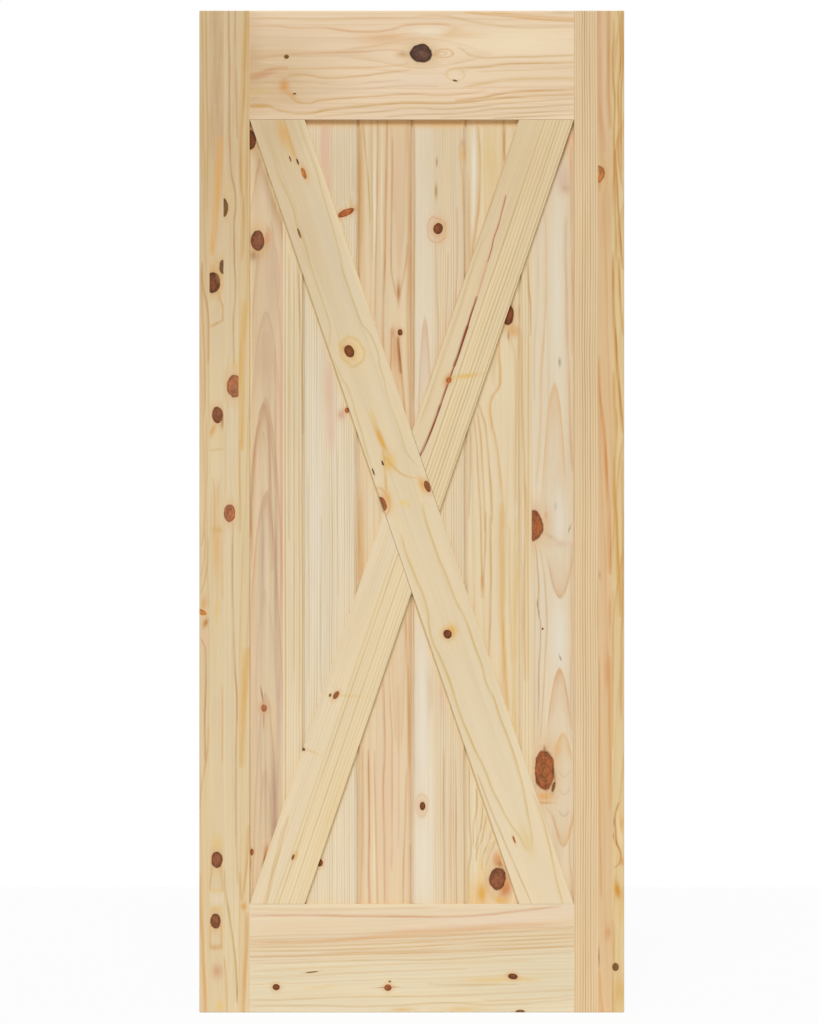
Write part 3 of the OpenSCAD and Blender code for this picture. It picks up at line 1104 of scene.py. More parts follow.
pine(
    "top_rail", (0.0, 2018.0), LEVEL, FRONT, 3.0, blush=0.3,
    strips=(
        Strip((21, 2043), 2600, 9, 60, (237, 211, 177), (214, 176, 128), 0.4, 6),
    ),
    knots=(
        Knot(20, 2043, 47, 40, "black"),
        Knot(-267, 2036, 10, 9, "pin"),
        Knot(-250, 1957, 7, 4, "pin"),
        Knot(92, 1985, 10, 4, "pin", 15),
    ),
    swells=(
        Swell(21, 2043, 95, 34, 1.2),
        Swell(92, 1994, 28, 12, 0.8),
    ),
    stains=(
        Stain(-300, 1980, 130, 80, (206, 174, 130), 0.7),
        Stain(-345, 2015, 26, 110, (202, 168, 124), 0.7),
        Stain(-310, 2075, 100, 26, (218, 190, 156), 0.5),
        Stain(-60, 2074, 55, 13, (222, 172, 118), 0.65),
        Stain(-20, 2040, 12, 5, (198, 152, 96), 0.8),
        Stain(84, 2086, 22, 9, (226, 180, 120), 0.75, -24),
        Stain(118, 2082, 34, 6, (228, 184, 128), 0.7),
        Stain(35, 2090, 34, 9, (242, 226, 198), 0.8),
        Stain(225, 2066, 140, 30, (243, 222, 186), 1),
        Stain(210, 2000, 140, 14, (237, 214, 178), 0.6),
        Stain(20, 1988, 80, 14, (232, 210, 184), 0.6),
        Stain(-318, 1997, 30, 6, (200, 146, 106), 0.8, -16),
        Stain(-272, 1973, 10, 12, (212, 144, 70), 0.85),
        Stain(-256, 1954, 14, 4, (214, 158, 92), 0.7, 40),
        Stain(-325, 1962, 22, 8, (216, 184, 122), 0.6),
        Stain(-325, 1931, 24, 4, (202, 154, 84), 0.8),
        Stain(92, 1998, 14, 8, (238, 220, 186), 0.6),
        Stain(320, 2130, 26, 3, (204, 180, 140), 0.6),
    ),
    rings=(
        Ring(68, 2043, 20, 9, 1.4, (222, 178, 128), 0.8),
        Ring(64, 2043, 10, 4, 1.2, (222, 182, 134), 0.6),
        Ring(92, 1997, 20, 12, 1.4, YELLOW, 0.5),
    ),
    veins=(
        Vein(
            (214, 168, 122), 2.0, 0.8,
            ((-360, 2100), (-300, 2101), (-250, 2097), (-200, 2097), (-150, 2092), (-100, 2088),
             (-50, 2092), (0, 2103), (45, 2105), (80, 2102), (96, 2090)),
        ),
        Vein(
            (212, 166, 126), 1.6, 0.8,
            ((-360, 2026), (-320, 2032), (-290, 2037), (-240, 2041), (-180, 2044), (-100, 2046),
             (-50, 2049), (-12, 2044)),
        ),
        Vein((206, 156, 110), 3.0, 0.8, ((-345, 1993), (-320, 2001), (-298, 2009), (-262, 2010))),
        Vein(TAN, 1.6, 0.8, ((-290, 2009), (-230, 2009), (-150, 2011), (-60, 2014), (-5, 2022))),
        Vein(
            OCHRE, 1.8, 0.75,
            ((-275, 1980), (-266, 1990), (-250, 1997), (-225, 1996), (-180, 1990), (-120, 1993),
             (-60, 2001), (0, 2006)),
        ),
        Vein(
            OCHRE, 1.8, 0.75,
            ((-276, 1966), (-269, 1957), (-255, 1946), (-240, 1938), (-220, 1936), (-205, 1940),
             (-150, 1946), (-80, 1951), (0, 1955), (60, 1953), (110, 1956), (160, 1963)),
        ),
        Vein(
            (202, 158, 92), 2.2, 0.85,
            ((-360, 1929), (-320, 1932), (-295, 1925), (-260, 1917), (-225, 1914), (-190, 1920),
             (-120, 1928), (-60, 1933), (0, 1937), (60, 1936), (120, 1939), (170, 1945), (230, 1950),
             (360, 1955)),
        ),
        Vein(
            OLIVE, 1.6, 0.6,
            ((-210, 1907), (-120, 1914), (-50, 1920), (0, 1925), (80, 1924), (140, 1929), (200, 1936),
             (270, 1941), (360, 1947)),
        ),
        Vein(OLIVE, 1.5, 0.6, ((-60, 1906), (0, 1912), (100, 1915), (180, 1923), (260, 1928), (360, 1934))),
        Vein(OLIVE, 1.5, 0.6, ((60, 1905), (140, 1909), (200, 1913), (300, 1919), (360, 1921))),
        Vein(OLIVE, 1.4, 0.6, ((170, 1904), (250, 1908), (360, 1912))),
        Vein(
            TAN, 2.2, 0.6,
            ((-360, 2115), (-300, 2117), (-200, 2114), (-100, 2117), (0, 2119), (50, 2122), (90, 2118),
             (130, 2109), (170, 2103), (220, 2098), (260, 2096), (310, 2098), (360, 2100)),
        ),
        Vein((218, 166, 102), 2.4, 0.8, ((110, 2130), (180, 2123), (250, 2117), (300, 2113), (360, 2111))),
        Vein((220, 170, 108), 2.0, 0.7, ((165, 2129), (230, 2124), (290, 2120), (360, 2116))),
        Vein(
            TAN, 2.0, 0.8,
            ((95, 2058), (112, 2047), (130, 2037), (160, 2033), (200, 2034), (260, 2035), (360, 2039)),
        ),
        Vein(
            (210, 168, 112), 2.0, 0.8,
            ((72, 1998), (84, 2008), (110, 2011), (160, 2014), (200, 2019), (250, 2021), (300, 2022),
             (360, 2024)),
        ),
        Vein(TAN, 1.6, 0.6, ((140, 2003), (200, 2006), (260, 2008), (360, 2011))),
        Vein(
            (220, 184, 128), 2.8, 0.8,
            ((110, 1970), (160, 1979), (200, 1985), (240, 1987), (300, 1988), (360, 1989)),
        ),
        Vein(
            (206, 158, 98), 2.2, 0.85,
            ((90, 1941), (150, 1948), (180, 1955), (220, 1960), (280, 1963), (360, 1966)),
        ),
        Vein(MAUVE, 1.5, 0.35, ((-200, 1978), (-140, 1975), (-80, 1981), (-20, 1986))),
        Vein(MAUVE, 1.5, 0.35, ((-190, 1962), (-100, 1966), (-20, 1973), (60, 1972))),
    ),
)

# %% [markdown]
# The bottom rail is paler, with a pinkish band above a set of close lines that rise to the right. Its
# lines differ in strength from top to bottom, so it is written as three strips of one grain that melt
# together.

# %% Bottom rail
NEARLY_LEVEL = 88.2

pine(
    "bottom_rail", (0.0, 115.0), NEARLY_LEVEL, FRONT, 4.0, blush=0.3, melt=9.0,
    glue=((0.0, 176.0), (0.0, 118.0)),
    strips=(
        Strip((0, -160), 2500, 8.2, 60, (228, 208, 175), (214, 182, 140), 0.25, 5),
        Strip((0, -160), 2500, 8.2, 60, (227, 208, 175), (202, 164, 112), 0.7, 3),
        Strip((0, -160), 2500, 8.2, 60, (225, 210, 178), (210, 184, 138), 0.45, 6),
    ),
    knots=(
        Knot(-289, 54, 15, 13, "dark"),
        Knot(-51, 53, 16, 15, "red"),
        Knot(-47, 66, 5, 4, "pin"),
        Knot(215, 77, 20, 13, "dark", 12),
        Knot(231, 2, 19, 8, "pin"),
        Knot(-213, 86, 26, 3, "pin", -4),
    ),
    stains=(
        Stain(-60, 226, 260, 4, (237, 219, 184), 0.7, 1.8),
        Stain(200, 200, 150, 12, (230, 206, 182), 0.6, -2),
        Stain(-230, 180, 110, 18, (228, 200, 166), 0.6),
        Stain(-20, 168, 80, 8, (222, 182, 138), 0.7, -4),
        Stain(150, 180, 180, 7, (220, 178, 134), 0.8, -2),
        Stain(10, 184, 34, 5, (234, 208, 176), 0.7),
        Stain(-200, 153, 170, 4, (222, 180, 134), 0.7, -1),
        Stain(165, 70, 70, 7, (226, 196, 142), 0.8, 0),
        Stain(235, 72, 32, 5, (224, 192, 136), 0.7, 8),
        Stain(-190, 54, 40, 4, (224, 198, 146), 0.7, -4),
        Stain(-51, 54, 22, 1.4, (150, 96, 56), 0.8),
        Stain(110, 8, 40, 5, (222, 188, 128), 0.7),
        Stain(-20, 6, 24, 4, (214, 178, 114), 0.8),
    ),
    veins=(
        Vein(
            (210, 160, 124), 2.0, 0.9,
            ((-360, 206), (-200, 206), (-100, 204), (0, 204), (80, 203), (140, 206), (200, 212),
             (260, 219), (320, 226)),
        ),
        Vein(TAN, 1.8, 0.5, ((-360, 219), (-200, 219), (-60, 222), (60, 224))),
        Vein(
            (210, 168, 116), 2.0, 0.7,
            ((-360, 150), (-200, 152), (-100, 157), (0, 160), (100, 165), (200, 170), (300, 177),
             (360, 180)),
        ),
        Vein(
            (208, 168, 114), 1.7, 0.7,
            ((-360, 140), (-200, 141), (-100, 144), (0, 149), (100, 155), (220, 161), (360, 168)),
        ),
        Vein(
            (206, 166, 112), 1.7, 0.7,
            ((-360, 131), (-200, 132), (-100, 135), (0, 139), (100, 146), (220, 152), (360, 160)),
        ),
        Vein(
            (206, 166, 112), 1.6, 0.6,
            ((-200, 126), (-100, 129), (0, 132), (100, 138), (220, 144), (360, 152)),
        ),
        Vein(
            (206, 166, 110), 1.8, 0.7,
            ((-360, 118), (-200, 121), (-100, 124), (0, 126), (100, 129), (220, 135), (360, 142)),
        ),
        Vein(OLIVE, 1.5, 0.5, ((-340, 108), (-250, 106), (-100, 111), (60, 112), (200, 121), (360, 130))),
        Vein(TAN, 1.5, 0.5, ((-340, 88), (-250, 92), (-150, 97), (-50, 102), (100, 105), (260, 112))),
        Vein(TAN, 1.5, 0.5, ((-360, 75), (-250, 76), (-150, 82), (-20, 88), (120, 93))),
        Vein(OLIVE, 1.5, 0.5, ((30, 60), (120, 58), (230, 60))),
        Vein(OLIVE, 1.5, 0.5, ((-360, 30), (-260, 27), (-120, 33), (60, 34), (200, 40), (360, 48))),
        Vein(
            OLIVE, 1.5, 0.5,
            ((-360, 15), (-200, 14), (-50, 13), (60, 20), (180, 16), (300, 24), (360, 28)),
        ),
        Vein(OLIVE, 1.5, 0.4, ((150, 30), (220, 26), (300, 32), (360, 38))),
    ),
)

# %% [markdown]
# The planks are a mixed lot, as they come from a yard. The first has a heart of pink and mauve arches,
# glued to a strip of quiet pale wood. The second is pale and straight-grained all over, with salmon
# streaks. Light that gets in between boards bounces from wood to wood and comes out warmer. Two tints
# bring this to the planks: a glow along the lower side of each brace, and a deeper shade under the top
# rail. Light makes them and not the wood, so they stay on the front and don't go through to the back.

# %% Planks 1 and 2
PLANK_FACE = -6.5
GLOW = (242, 216, 164)
GLOW_WIDTH = 2.6
GLOW_SHARE = 1.1
SHADE = (234, 188, 126)
SHADE_HEIGHT = 1897.0
SHADE_HALF = (9.0, 160.0)
SHADE_SHARE = 0.9


def glow(*points):
    """The warm line on a plank along the lower side of a brace."""
    return Vein(GLOW, GLOW_WIDTH, GLOW_SHARE, points, front_only=True)


def shade(x):
    """The warm shade on a plank under the top rail."""
    return Stain(x, SHADE_HEIGHT, *SHADE_HALF, SHADE, SHADE_SHARE, front_only=True)


pine(
    "plank_1", (-288.0, 1067.0), UPRIGHT, PLANK_FACE, 5.0, blush=0.2,
    glue=((-275.0, 0.0),),
    strips=(
        Strip((-312, 1490), 194, 8, 64, (222, 198, 160), (196, 158, 120), 0.75, 4),
        Strip((-520, 1000), 1800, 6, 60, (228, 209, 173), (198, 166, 118), 0.9, 2.5, 0.56),
    ),
    knots=(
        Knot(-345, 1861, 40, 27, "dark"),
        Knot(-329, 1645, 44, 29, "brown"),
        Knot(-315, 648, 15, 12, "light"),
        Knot(-341, 341, 14, 8, "red"),
    ),
    arches=(
        Arch(-311, 1492, -120, 25, 22, (194, 158, 126), 0.5),
        Arch(-316, 1296, -110, 21, 30, (188, 146, 114), 0.6, 2.2),
        Arch(-317, 1236, -70, 9, 14, (190, 152, 122), 0.4, 2.2),
    ),
    stains=(
        Stain(-312, 1390, 90, 22, (206, 172, 140), 0.7),
        Stain(-300, 1560, 80, 20, (208, 176, 148), 0.6),
        # Partly darker heartwood, partly painted shade along the lower side of the long brace.
        Stain(-296, 1740, 150, 15, (186, 148, 106), 0.7, -19),
        # Painted highlight: a pale line along the plank's left edge, which also covers the shadow of the
        # left stile there.
        Stain(-344, 1500, 900, 3.6, (243, 218, 174), 1.1),
        # Reddish wood above the knot, with painted shade on it in the corner under the top rail.
        Stain(-342, 1890, 16, 9, (184, 122, 70), 0.9),
        Stain(-338, 1770, 80, 5, (230, 206, 166), 0.6),
        Stain(-318, 1730, 50, 8, (222, 196, 164), 0.6),
        Stain(-336, 1614, 12, 8, (132, 72, 44), 0.75),
        Stain(-308, 1650, 12, 5, (220, 148, 116), 0.7),
        Stain(-278.5, 1350, 260, 3.4, (222, 172, 148), 0.85),
        Stain(-278, 1000, 200, 2.6, (214, 152, 124), 0.85),
        Stain(-290, 950, 200, 4, (180, 146, 126), 0.7),
        Stain(-284, 700, 170, 5, (202, 168, 144), 0.7),
        Stain(-294, 430, 120, 9, (178, 142, 120), 0.8),
        Stain(-312, 460, 110, 3, (186, 152, 130), 0.6),
        Stain(-322, 900, 180, 6, (204, 178, 156), 0.6),
        Stain(-303, 1150, 160, 3, (194, 160, 134), 0.7),
        Stain(-329, 1120, 120, 3, (228, 202, 170), 0.7),
        Stain(-318, 1000, 140, 3.5, (192, 160, 136), 0.6),
        Stain(-308, 850, 170, 3, (226, 206, 178), 0.7),
        Stain(-331, 620, 200, 3, (208, 178, 146), 0.7),
        Stain(-322, 480, 120, 3, (198, 166, 140), 0.6),
        Stain(-341, 1020, 60, 2.4, (212, 150, 92), 0.7),
        Stain(-338, 700, 200, 8, (228, 198, 168), 0.5),
        Stain(-319, 676, 16, 1.5, (160, 106, 70), 0.9, -10),
        Stain(-315.5, 624, 18, 1.3, (170, 118, 82), 0.8),
        Stain(-315, 648, 14, 12, (212, 164, 130), 0.6),
        Stain(-343, 316, 20, 2, (210, 146, 98), 0.7),
        Stain(-314, 330, 22, 2.6, (166, 102, 52), 0.9, 10),
        Stain(-310, 344, 10, 6, (206, 150, 100), 0.7),
    ),
    veins=(
        Vein(
            (188, 150, 90), 1.6, 0.8,
            ((-243, 1640), (-240, 1540), (-237, 1450), (-233, 1330), (-232, 1230)),
        ),
        Vein(OLIVE, 1.3, 0.7, ((-262, 1620), (-261, 1400), (-262, 1200), (-261, 1000))),
        Vein(OLIVE, 1.3, 0.6, ((-251, 1600), (-250, 1300), (-250, 1000), (-252, 700))),
        Vein(TAN, 1.4, 0.7, ((-240, 1250), (-239, 1050), (-238, 860), (-241, 640))),
        Vein(
            (186, 136, 98), 2.2, 0.7,
            ((-322, 1262), (-331, 1225), (-337, 1170), (-341, 1100), (-343, 1010)),
        ),
        Vein(
            (190, 146, 122), 1.8, 0.7,
            ((-305, 1262), (-303, 1200), (-300, 1130), (-297, 1040), (-297, 940)),
        ),
        Vein((196, 150, 124), 1.6, 0.6, ((-292, 1420), (-290, 1330), (-290, 1230), (-289, 1120))),
        Vein(MAUVE, 1.6, 0.6, ((-300, 1690), (-292, 1640), (-285, 1600), (-282, 1520))),
        Vein(MAUVE, 1.6, 0.7, ((-285, 540), (-287, 480), (-292, 420), (-300, 372))),
        glow((-336.8, 1874), (-266.8, 1670)),
        glow((-283.8, 1720), (-223.8, 1545)),
    ),
)
pine(
    "plank_2", (-173.0, 1067.0), UPRIGHT, PLANK_FACE, 6.0, blush=0.2,
    strips=(
        Strip((-420, 1000), 1800, 5.2, 60, (230, 214, 184), (194, 170, 126), 0.85, 3, 0.55),
    ),
    knots=(
        Knot(-141, 1704, 14, 38, "orange", -24),
        Knot(-138, 1283, 12, 10, "orange"),
        Knot(-196, 318, 16, 13, "dark"),
    ),
    stains=(
        Stain(-150, 1790, 130, 45, (212, 188, 150), 0.55),
        Stain(-205, 1050, 260, 11, (231, 220, 200), 0.6),
        Stain(-184, 1850, 80, 9.5, (224, 188, 158), 1.5),
        Stain(-178, 1750, 40, 4, (222, 184, 156), 0.9),
        Stain(-176, 1325, 84, 11, (222, 190, 160), 1, -2),
        Stain(-172, 1235, 30, 7, (224, 190, 168), 0.9),
        Stain(-150, 1274, 11, 9, (214, 160, 136), 0.8),
        Stain(-141, 1704, 4, 17, (140, 56, 22), 0.9, -24),
        Stain(-130, 1725, 12, 5, (216, 184, 130), 0.6),
        shade(-173),
        Stain(-121, 1067, 700, 2.4, (206, 166, 112), 0.6),
    ),
    veins=(
        Vein((190, 172, 138), 1.3, 0.6, ((-193, 1060), (-193, 900), (-194, 740), (-190, 680))),
        Vein((196, 172, 138), 1.3, 0.5, ((-158, 1200), (-157, 1000), (-155, 880))),
        Vein((196, 176, 146), 1.3, 0.6, ((-125, 1900), (-125, 1800), (-124, 1750))),
        Vein((190, 172, 138), 1.3, 0.5, ((-221, 1150), (-220, 1000), (-219, 850), (-221, 700))),
        glow((-238.8, 1589), (-103.8, 1195)),
        glow((-106.2, 584), (-241.2, 191)),
    ),
)

# %% [markdown]
# The third plank has warm brown edges, long reddish veins and a pointed tongue above its knot; the fourth
# is pale and plain on its left and has close pinkish lines on its right, again two strips of one grain.

# %% Planks 3 and 4
pine(
    "plank_3", (-58.0, 1067.0), UPRIGHT, PLANK_FACE, 7.0, blush=0.5,
    strips=(
        Strip((-28, 1514), -900, 8, 70, (229, 207, 170), (208, 166, 114), 0.42, 4),
    ),
    knots=(
        Knot(-25, 1449, 14, 11, "dark"),
    ),
    stains=(
        Stain(-58, 1740, 240, 60, (214, 182, 138), 0.4),
        Stain(-109, 1750, 180, 5, (206, 158, 96), 0.8),
        Stain(-110, 1000, 130, 9, (212, 164, 102), 0.8),
        Stain(-108, 400, 200, 6, (214, 172, 120), 0.7),
        Stain(-3, 1600, 260, 4, (204, 152, 96), 0.7),
        Stain(-5, 650, 300, 4, (212, 160, 104), 0.8),
        Stain(-30, 1740, 150, 12, (222, 188, 154), 0.7),
        Stain(-55, 420, 220, 34, (224, 190, 154), 0.5),
        Stain(-79, 1730, 180, 3, (236, 224, 196), 0.85),
        Stain(-64, 1730, 170, 2.6, (234, 216, 184), 0.8),
        Stain(-80, 330, 110, 2.4, (236, 220, 188), 0.8),
        Stain(-28, 1537, 24, 4, (186, 124, 70), 0.9),
        Stain(-34, 1410, 44, 11, (212, 160, 110), 0.8),
        Stain(-30, 1340, 60, 8, (220, 180, 132), 0.6),
        Stain(-40, 1448, 12, 4, (206, 150, 112), 0.7),
        shade(-58),
    ),
    veins=(
        Vein(
            (198, 150, 88), 2.8, 0.8,
            ((-113, 1930), (-112, 1800), (-111, 1750), (-112, 1650), (-113, 1560)),
        ),
        Vein(OLIVE, 1.5, 0.8, ((-104, 1900), (-99, 1850), (-94, 1790), (-90, 1730), (-88, 1680))),
        Vein(OLIVE, 1.5, 0.7, ((-86, 1920), (-85, 1800), (-84, 1700), (-83, 1600))),
        Vein((194, 142, 90), 1.6, 0.7, ((-72, 1920), (-72, 1800), (-74, 1680), (-77, 1560), (-78, 1470))),
        Vein(
            (200, 140, 90), 2.1, 0.8,
            ((-51, 1930), (-53, 1820), (-55, 1700), (-57, 1600), (-60, 1470), (-60, 1380)),
        ),
        Vein(
            (196, 146, 98), 1.5, 0.8,
            ((-41, 1870), (-42, 1750), (-43, 1650), (-43, 1590), (-38, 1555), (-31, 1522)),
        ),
        Vein((198, 148, 98), 1.5, 0.7, ((-8, 1640), (-11, 1600), (-17, 1565), (-26, 1522))),
        Vein(
            (204, 148, 96), 2.4, 0.6,
            ((-7, 1920), (-6, 1750), (-6, 1600), (-8, 1480), (-5, 1330), (-3, 1250)),
        ),
        Vein((160, 92, 44), 2.4, 1.0, ((-28, 1442), (-27, 1420), (-25, 1392), (-22, 1360))),
        Vein((196, 138, 84), 2.0, 0.8, ((-25, 1390), (-20, 1350), (-16, 1300), (-12, 1250))),
        Vein((204, 150, 104), 1.8, 0.8, ((-43, 1460), (-44, 1400), (-46, 1350))),
        Vein((198, 150, 96), 2.0, 0.8, ((-13, 850), (-10, 770), (-7, 720), (-5, 600), (-5, 520))),
        Vein(
            (206, 146, 110), 1.6, 0.8,
            ((-62, 720), (-58, 640), (-57, 560), (-60, 480), (-58, 350), (-57, 210)),
        ),
        Vein((206, 150, 116), 1.6, 0.7, ((-48, 780), (-45, 650), (-41, 560), (-42, 400), (-43, 300))),
        Vein((198, 138, 96), 1.8, 0.9, ((-92, 560), (-91, 480), (-91, 380), (-89, 210))),
        Vein((204, 154, 112), 1.4, 0.7, ((-78, 560), (-76, 400), (-74, 300), (-73, 210))),
        Vein((200, 150, 106), 1.5, 0.7, ((-10, 520), (-13, 420), (-16, 320), (-18, 210))),
        Vein((196, 150, 102), 1.8, 0.6, ((-3, 360), (-2.5, 280), (-2.5, 200))),
        Vein((206, 158, 112), 1.5, 0.6, ((-105, 560), (-104, 450), (-106, 330), (-108, 210))),
        Vein((212, 164, 130), 1.5, 0.5, ((-30, 700), (-27, 600), (-27, 480), (-29, 350))),
        glow((-123.8, 1254), (9.2, 866)),
        glow((8.8, 919), (-126.2, 526)),
    ),
)
pine(
    "plank_4", (58.0, 1067.0), UPRIGHT, PLANK_FACE, 8.0, melt=5.0, blush=0.5,
    glue=((47.0, 0.0),),
    strips=(
        Strip((-240, 1000), 1800, 5.4, 60, (229, 214, 187), (214, 188, 150), 0.3, 3),
        Strip((-240, 1000), 1800, 5.4, 60, (228, 208, 173), (196, 164, 122), 0.8, 3, 0.55),
    ),
    knots=(
        Knot(56, 1670, 24, 20, "dark", 12),
        Knot(23, 439, 18, 12, "dark"),
    ),
    arches=(
        Arch(28, 1472, -150, 14, 90, (212, 178, 142), 0.8, 2),
    ),
    stains=(
        Stain(64, 1780, 160, 50, (218, 194, 156), 0.45),
        Stain(56, 1668, 30, 22, (222, 182, 148), 0.7),
        Stain(53, 1812, 9, 1.8, (156, 128, 76), 0.9),
        Stain(52, 1750, 15, 2.8, (170, 142, 70), 1),
        Stain(111, 1830, 16, 7, (222, 176, 112), 0.9),
        Stain(108, 1852, 10, 5, (206, 164, 122), 0.7),
        Stain(38, 690, 60, 8, (212, 186, 148), 0.6),
        Stain(22, 640, 140, 7, (233, 223, 206), 0.8),
        Stain(82, 370, 150, 3, (212, 170, 132), 0.6),
        Stain(20, 440, 26, 13, (226, 192, 160), 0.7),
        Stain(23, 330, 80, 12, (232, 223, 203), 0.7),
        Stain(4, 1067, 700, 2.2, (208, 164, 108), 0.8),
        Stain(64, 690, 60, 5, (222, 186, 160), 0.7),
        shade(24),
        shade(81),
    ),
    rings=(
        Ring(53, 1668, 27, 20, 1.6, (216, 170, 124), 0.7),
        Ring(22, 441, 25, 13, 1.5, (218, 186, 140), 0.6),
    ),
    veins=(
        Vein((198, 152, 92), 1.8, 0.8, ((6, 1920), (6.5, 1700), (5.5, 1500), (5, 1300))),
        Vein((204, 168, 118), 2.0, 0.6, ((111, 1760), (112, 1680), (113, 1600), (112, 1540))),
        Vein((206, 168, 118), 1.8, 0.7, ((103, 1850), (106, 1810), (110, 1770), (112, 1700))),
        Vein((206, 160, 136), 1.5, 0.7, ((97, 1720), (98, 1620), (96, 1560), (92, 1500))),
        Vein((204, 166, 138), 1.4, 0.6, ((78, 1620), (76, 1540), (72, 1450))),
        Vein((206, 166, 130), 1.6, 0.6, ((52, 1640), (54, 1540), (57, 1440), (55, 1400))),
        Vein((200, 156, 112), 1.6, 0.7, ((70, 560), (69, 420), (70, 320), (68, 210))),
        Vein((204, 156, 116), 1.8, 0.7, ((94, 540), (95, 420), (95, 330), (97, 210))),
        Vein((206, 174, 126), 1.6, 0.5, ((112, 560), (111, 420), (113, 330), (112, 210))),
        glow((-6.8, 913), (58.2, 724)),
        glow((40.2, 776), (126.2, 526)),
        glow((48.8, 1035), (123.8, 1254)),
    ),
)

# %% [markdown]
# The fifth plank is yellowish, with long lenses between ochre veins and a knot near each end of what
# shows of it. The sixth has a narrow strip at its left; the rest is nearly white, with single tan arches
# that point to and from its two large red knots.

# %% Planks 5 and 6
pine(
    "plank_5", (173.0, 1067.0), UPRIGHT, PLANK_FACE, 9.0, blush=0.1,
    strips=(
        Strip((175, 1300), -900, 9, 60, (229, 209, 172), (212, 176, 120), 0.4, 5),
    ),
    knots=(
        Knot(205, 1487, 44, 26, "dark"),
        Knot(183, 284, 46, 37, "brown", 8),
    ),
    swells=(
        Swell(185, 300, 90, 45, 2),
    ),
    stains=(
        Stain(133, 1800, 100, 4, (234, 224, 206), 1),
        Stain(168, 1820, 90, 16, (224, 194, 136), 0.75),
        Stain(196, 1850, 45, 3, (202, 158, 92), 0.7, 4),
        Stain(122, 1680, 110, 4, (212, 172, 120), 0.7),
        Stain(235, 1545, 16, 5, (208, 152, 76), 0.9),
        Stain(232, 1492, 18, 4, (214, 158, 96), 0.9),
        Stain(218, 1452, 14, 13, (218, 170, 108), 0.9),
        Stain(206, 1442, 10, 2, (150, 90, 44), 0.8),
        Stain(205, 1360, 60, 12, (230, 214, 178), 0.7),
        Stain(134, 250, 40, 18, (228, 190, 126), 0.7),
        Stain(150, 254, 22, 13, (222, 170, 86), 0.95),
        Stain(148, 300, 24, 8, (232, 204, 146), 0.7),
        Stain(200, 262, 22, 12, (198, 112, 54), 1, 16),
        Stain(190, 238, 8, 16, (226, 178, 92), 0.9),
        Stain(186, 326, 16, 13, (216, 152, 98), 1),
        Stain(189, 315, 6, 9, (160, 92, 48), 0.9, 30),
        Stain(206, 284, 20, 5, (206, 132, 76), 0.9),
        Stain(184, 287, 9, 1.5, (70, 42, 30), 1, 18),
        Stain(134, 420, 160, 3, (233, 221, 195), 0.7),
        Stain(150, 920, 18, 2.4, (208, 144, 76), 0.8),
        shade(173),
    ),
    veins=(
        Vein(
            OCHRE, 2.4, 0.85,
            ((142, 1890), (146, 1810), (145, 1740), (139, 1680), (133, 1640), (129, 1590)),
        ),
        Vein((192, 142, 80), 2.0, 0.8, ((196, 1910), (196, 1860), (201, 1810))),
        Vein(
            (218, 170, 100), 2.6, 0.9,
            ((192, 1462), (186, 1430), (186, 1400), (189, 1370), (189, 1345), (182, 1325), (172, 1308),
             (168, 1285), (171, 1258), (179, 1220), (186, 1170), (193, 1100), (197, 1030)),
        ),
        Vein(TAN, 2.4, 0.7, ((206, 1440), (217, 1420), (222, 1380), (223, 1300), (222, 1200), (223, 1080))),
        Vein((216, 178, 116), 1.8, 0.55, ((228, 1450), (227, 1300), (228, 1200), (229, 1050))),
        Vein(
            OCHRE, 2.0, 0.85,
            ((143, 1300), (151, 1275), (158, 1250), (163, 1200), (167, 1150), (170, 1100), (171, 1040)),
        ),
        Vein(OCHRE, 1.7, 0.8, ((136, 1285), (146, 1240), (151, 1170), (155, 1090), (157, 1020))),
        Vein(OCHRE, 1.6, 0.8, ((128, 1280), (138, 1225), (142, 1150), (146, 1080), (149, 980), (150, 880))),
        Vein((202, 156, 104), 1.8, 0.7, ((122, 1250), (126, 1190), (124, 1120), (122, 1050))),
        Vein((206, 160, 98), 1.6, 0.8, ((159, 1070), (158, 1000), (155, 940), (153, 880))),
        Vein(OCHRE, 2.0, 0.8, ((168, 1060), (169, 1000), (170, 940), (168, 880), (167, 820), (165, 740))),
        Vein(
            (218, 170, 98), 4.6, 0.95,
            ((193, 1090), (194, 960), (195, 860), (199, 760), (203, 690), (206, 640)),
        ),
        Vein(
            (222, 184, 112), 3.4, 0.75,
            ((226, 1060), (225, 980), (223, 880), (222, 780), (221, 690), (223, 570)),
        ),
        Vein(TAN, 1.8, 0.6, ((210, 1040), (209, 940), (212, 840), (214, 740))),
        Vein(OLIVE, 1.5, 0.8, ((139, 540), (139, 440), (133, 395), (132, 350))),
        Vein(OLIVE, 1.5, 0.8, ((143, 480), (151, 445), (150, 410), (143, 375), (136, 345))),
        Vein((204, 166, 96), 1.5, 0.8, ((163, 436), (157, 405), (151, 372), (141, 346), (137, 320))),
        Vein((208, 166, 92), 1.6, 0.8, ((172, 402), (167, 372), (159, 350), (151, 326), (150, 300))),
        Vein((206, 160, 96), 1.6, 0.7, ((180, 372), (174, 352), (165, 334), (160, 312))),
        Vein(OLIVE, 1.6, 0.7, ((123, 560), (124, 400), (127, 350), (122, 300), (123, 210))),
        glow((106.2, 584), (236.2, 205)),
        glow((103.8, 1196), (238.8, 1589)),
    ),
)
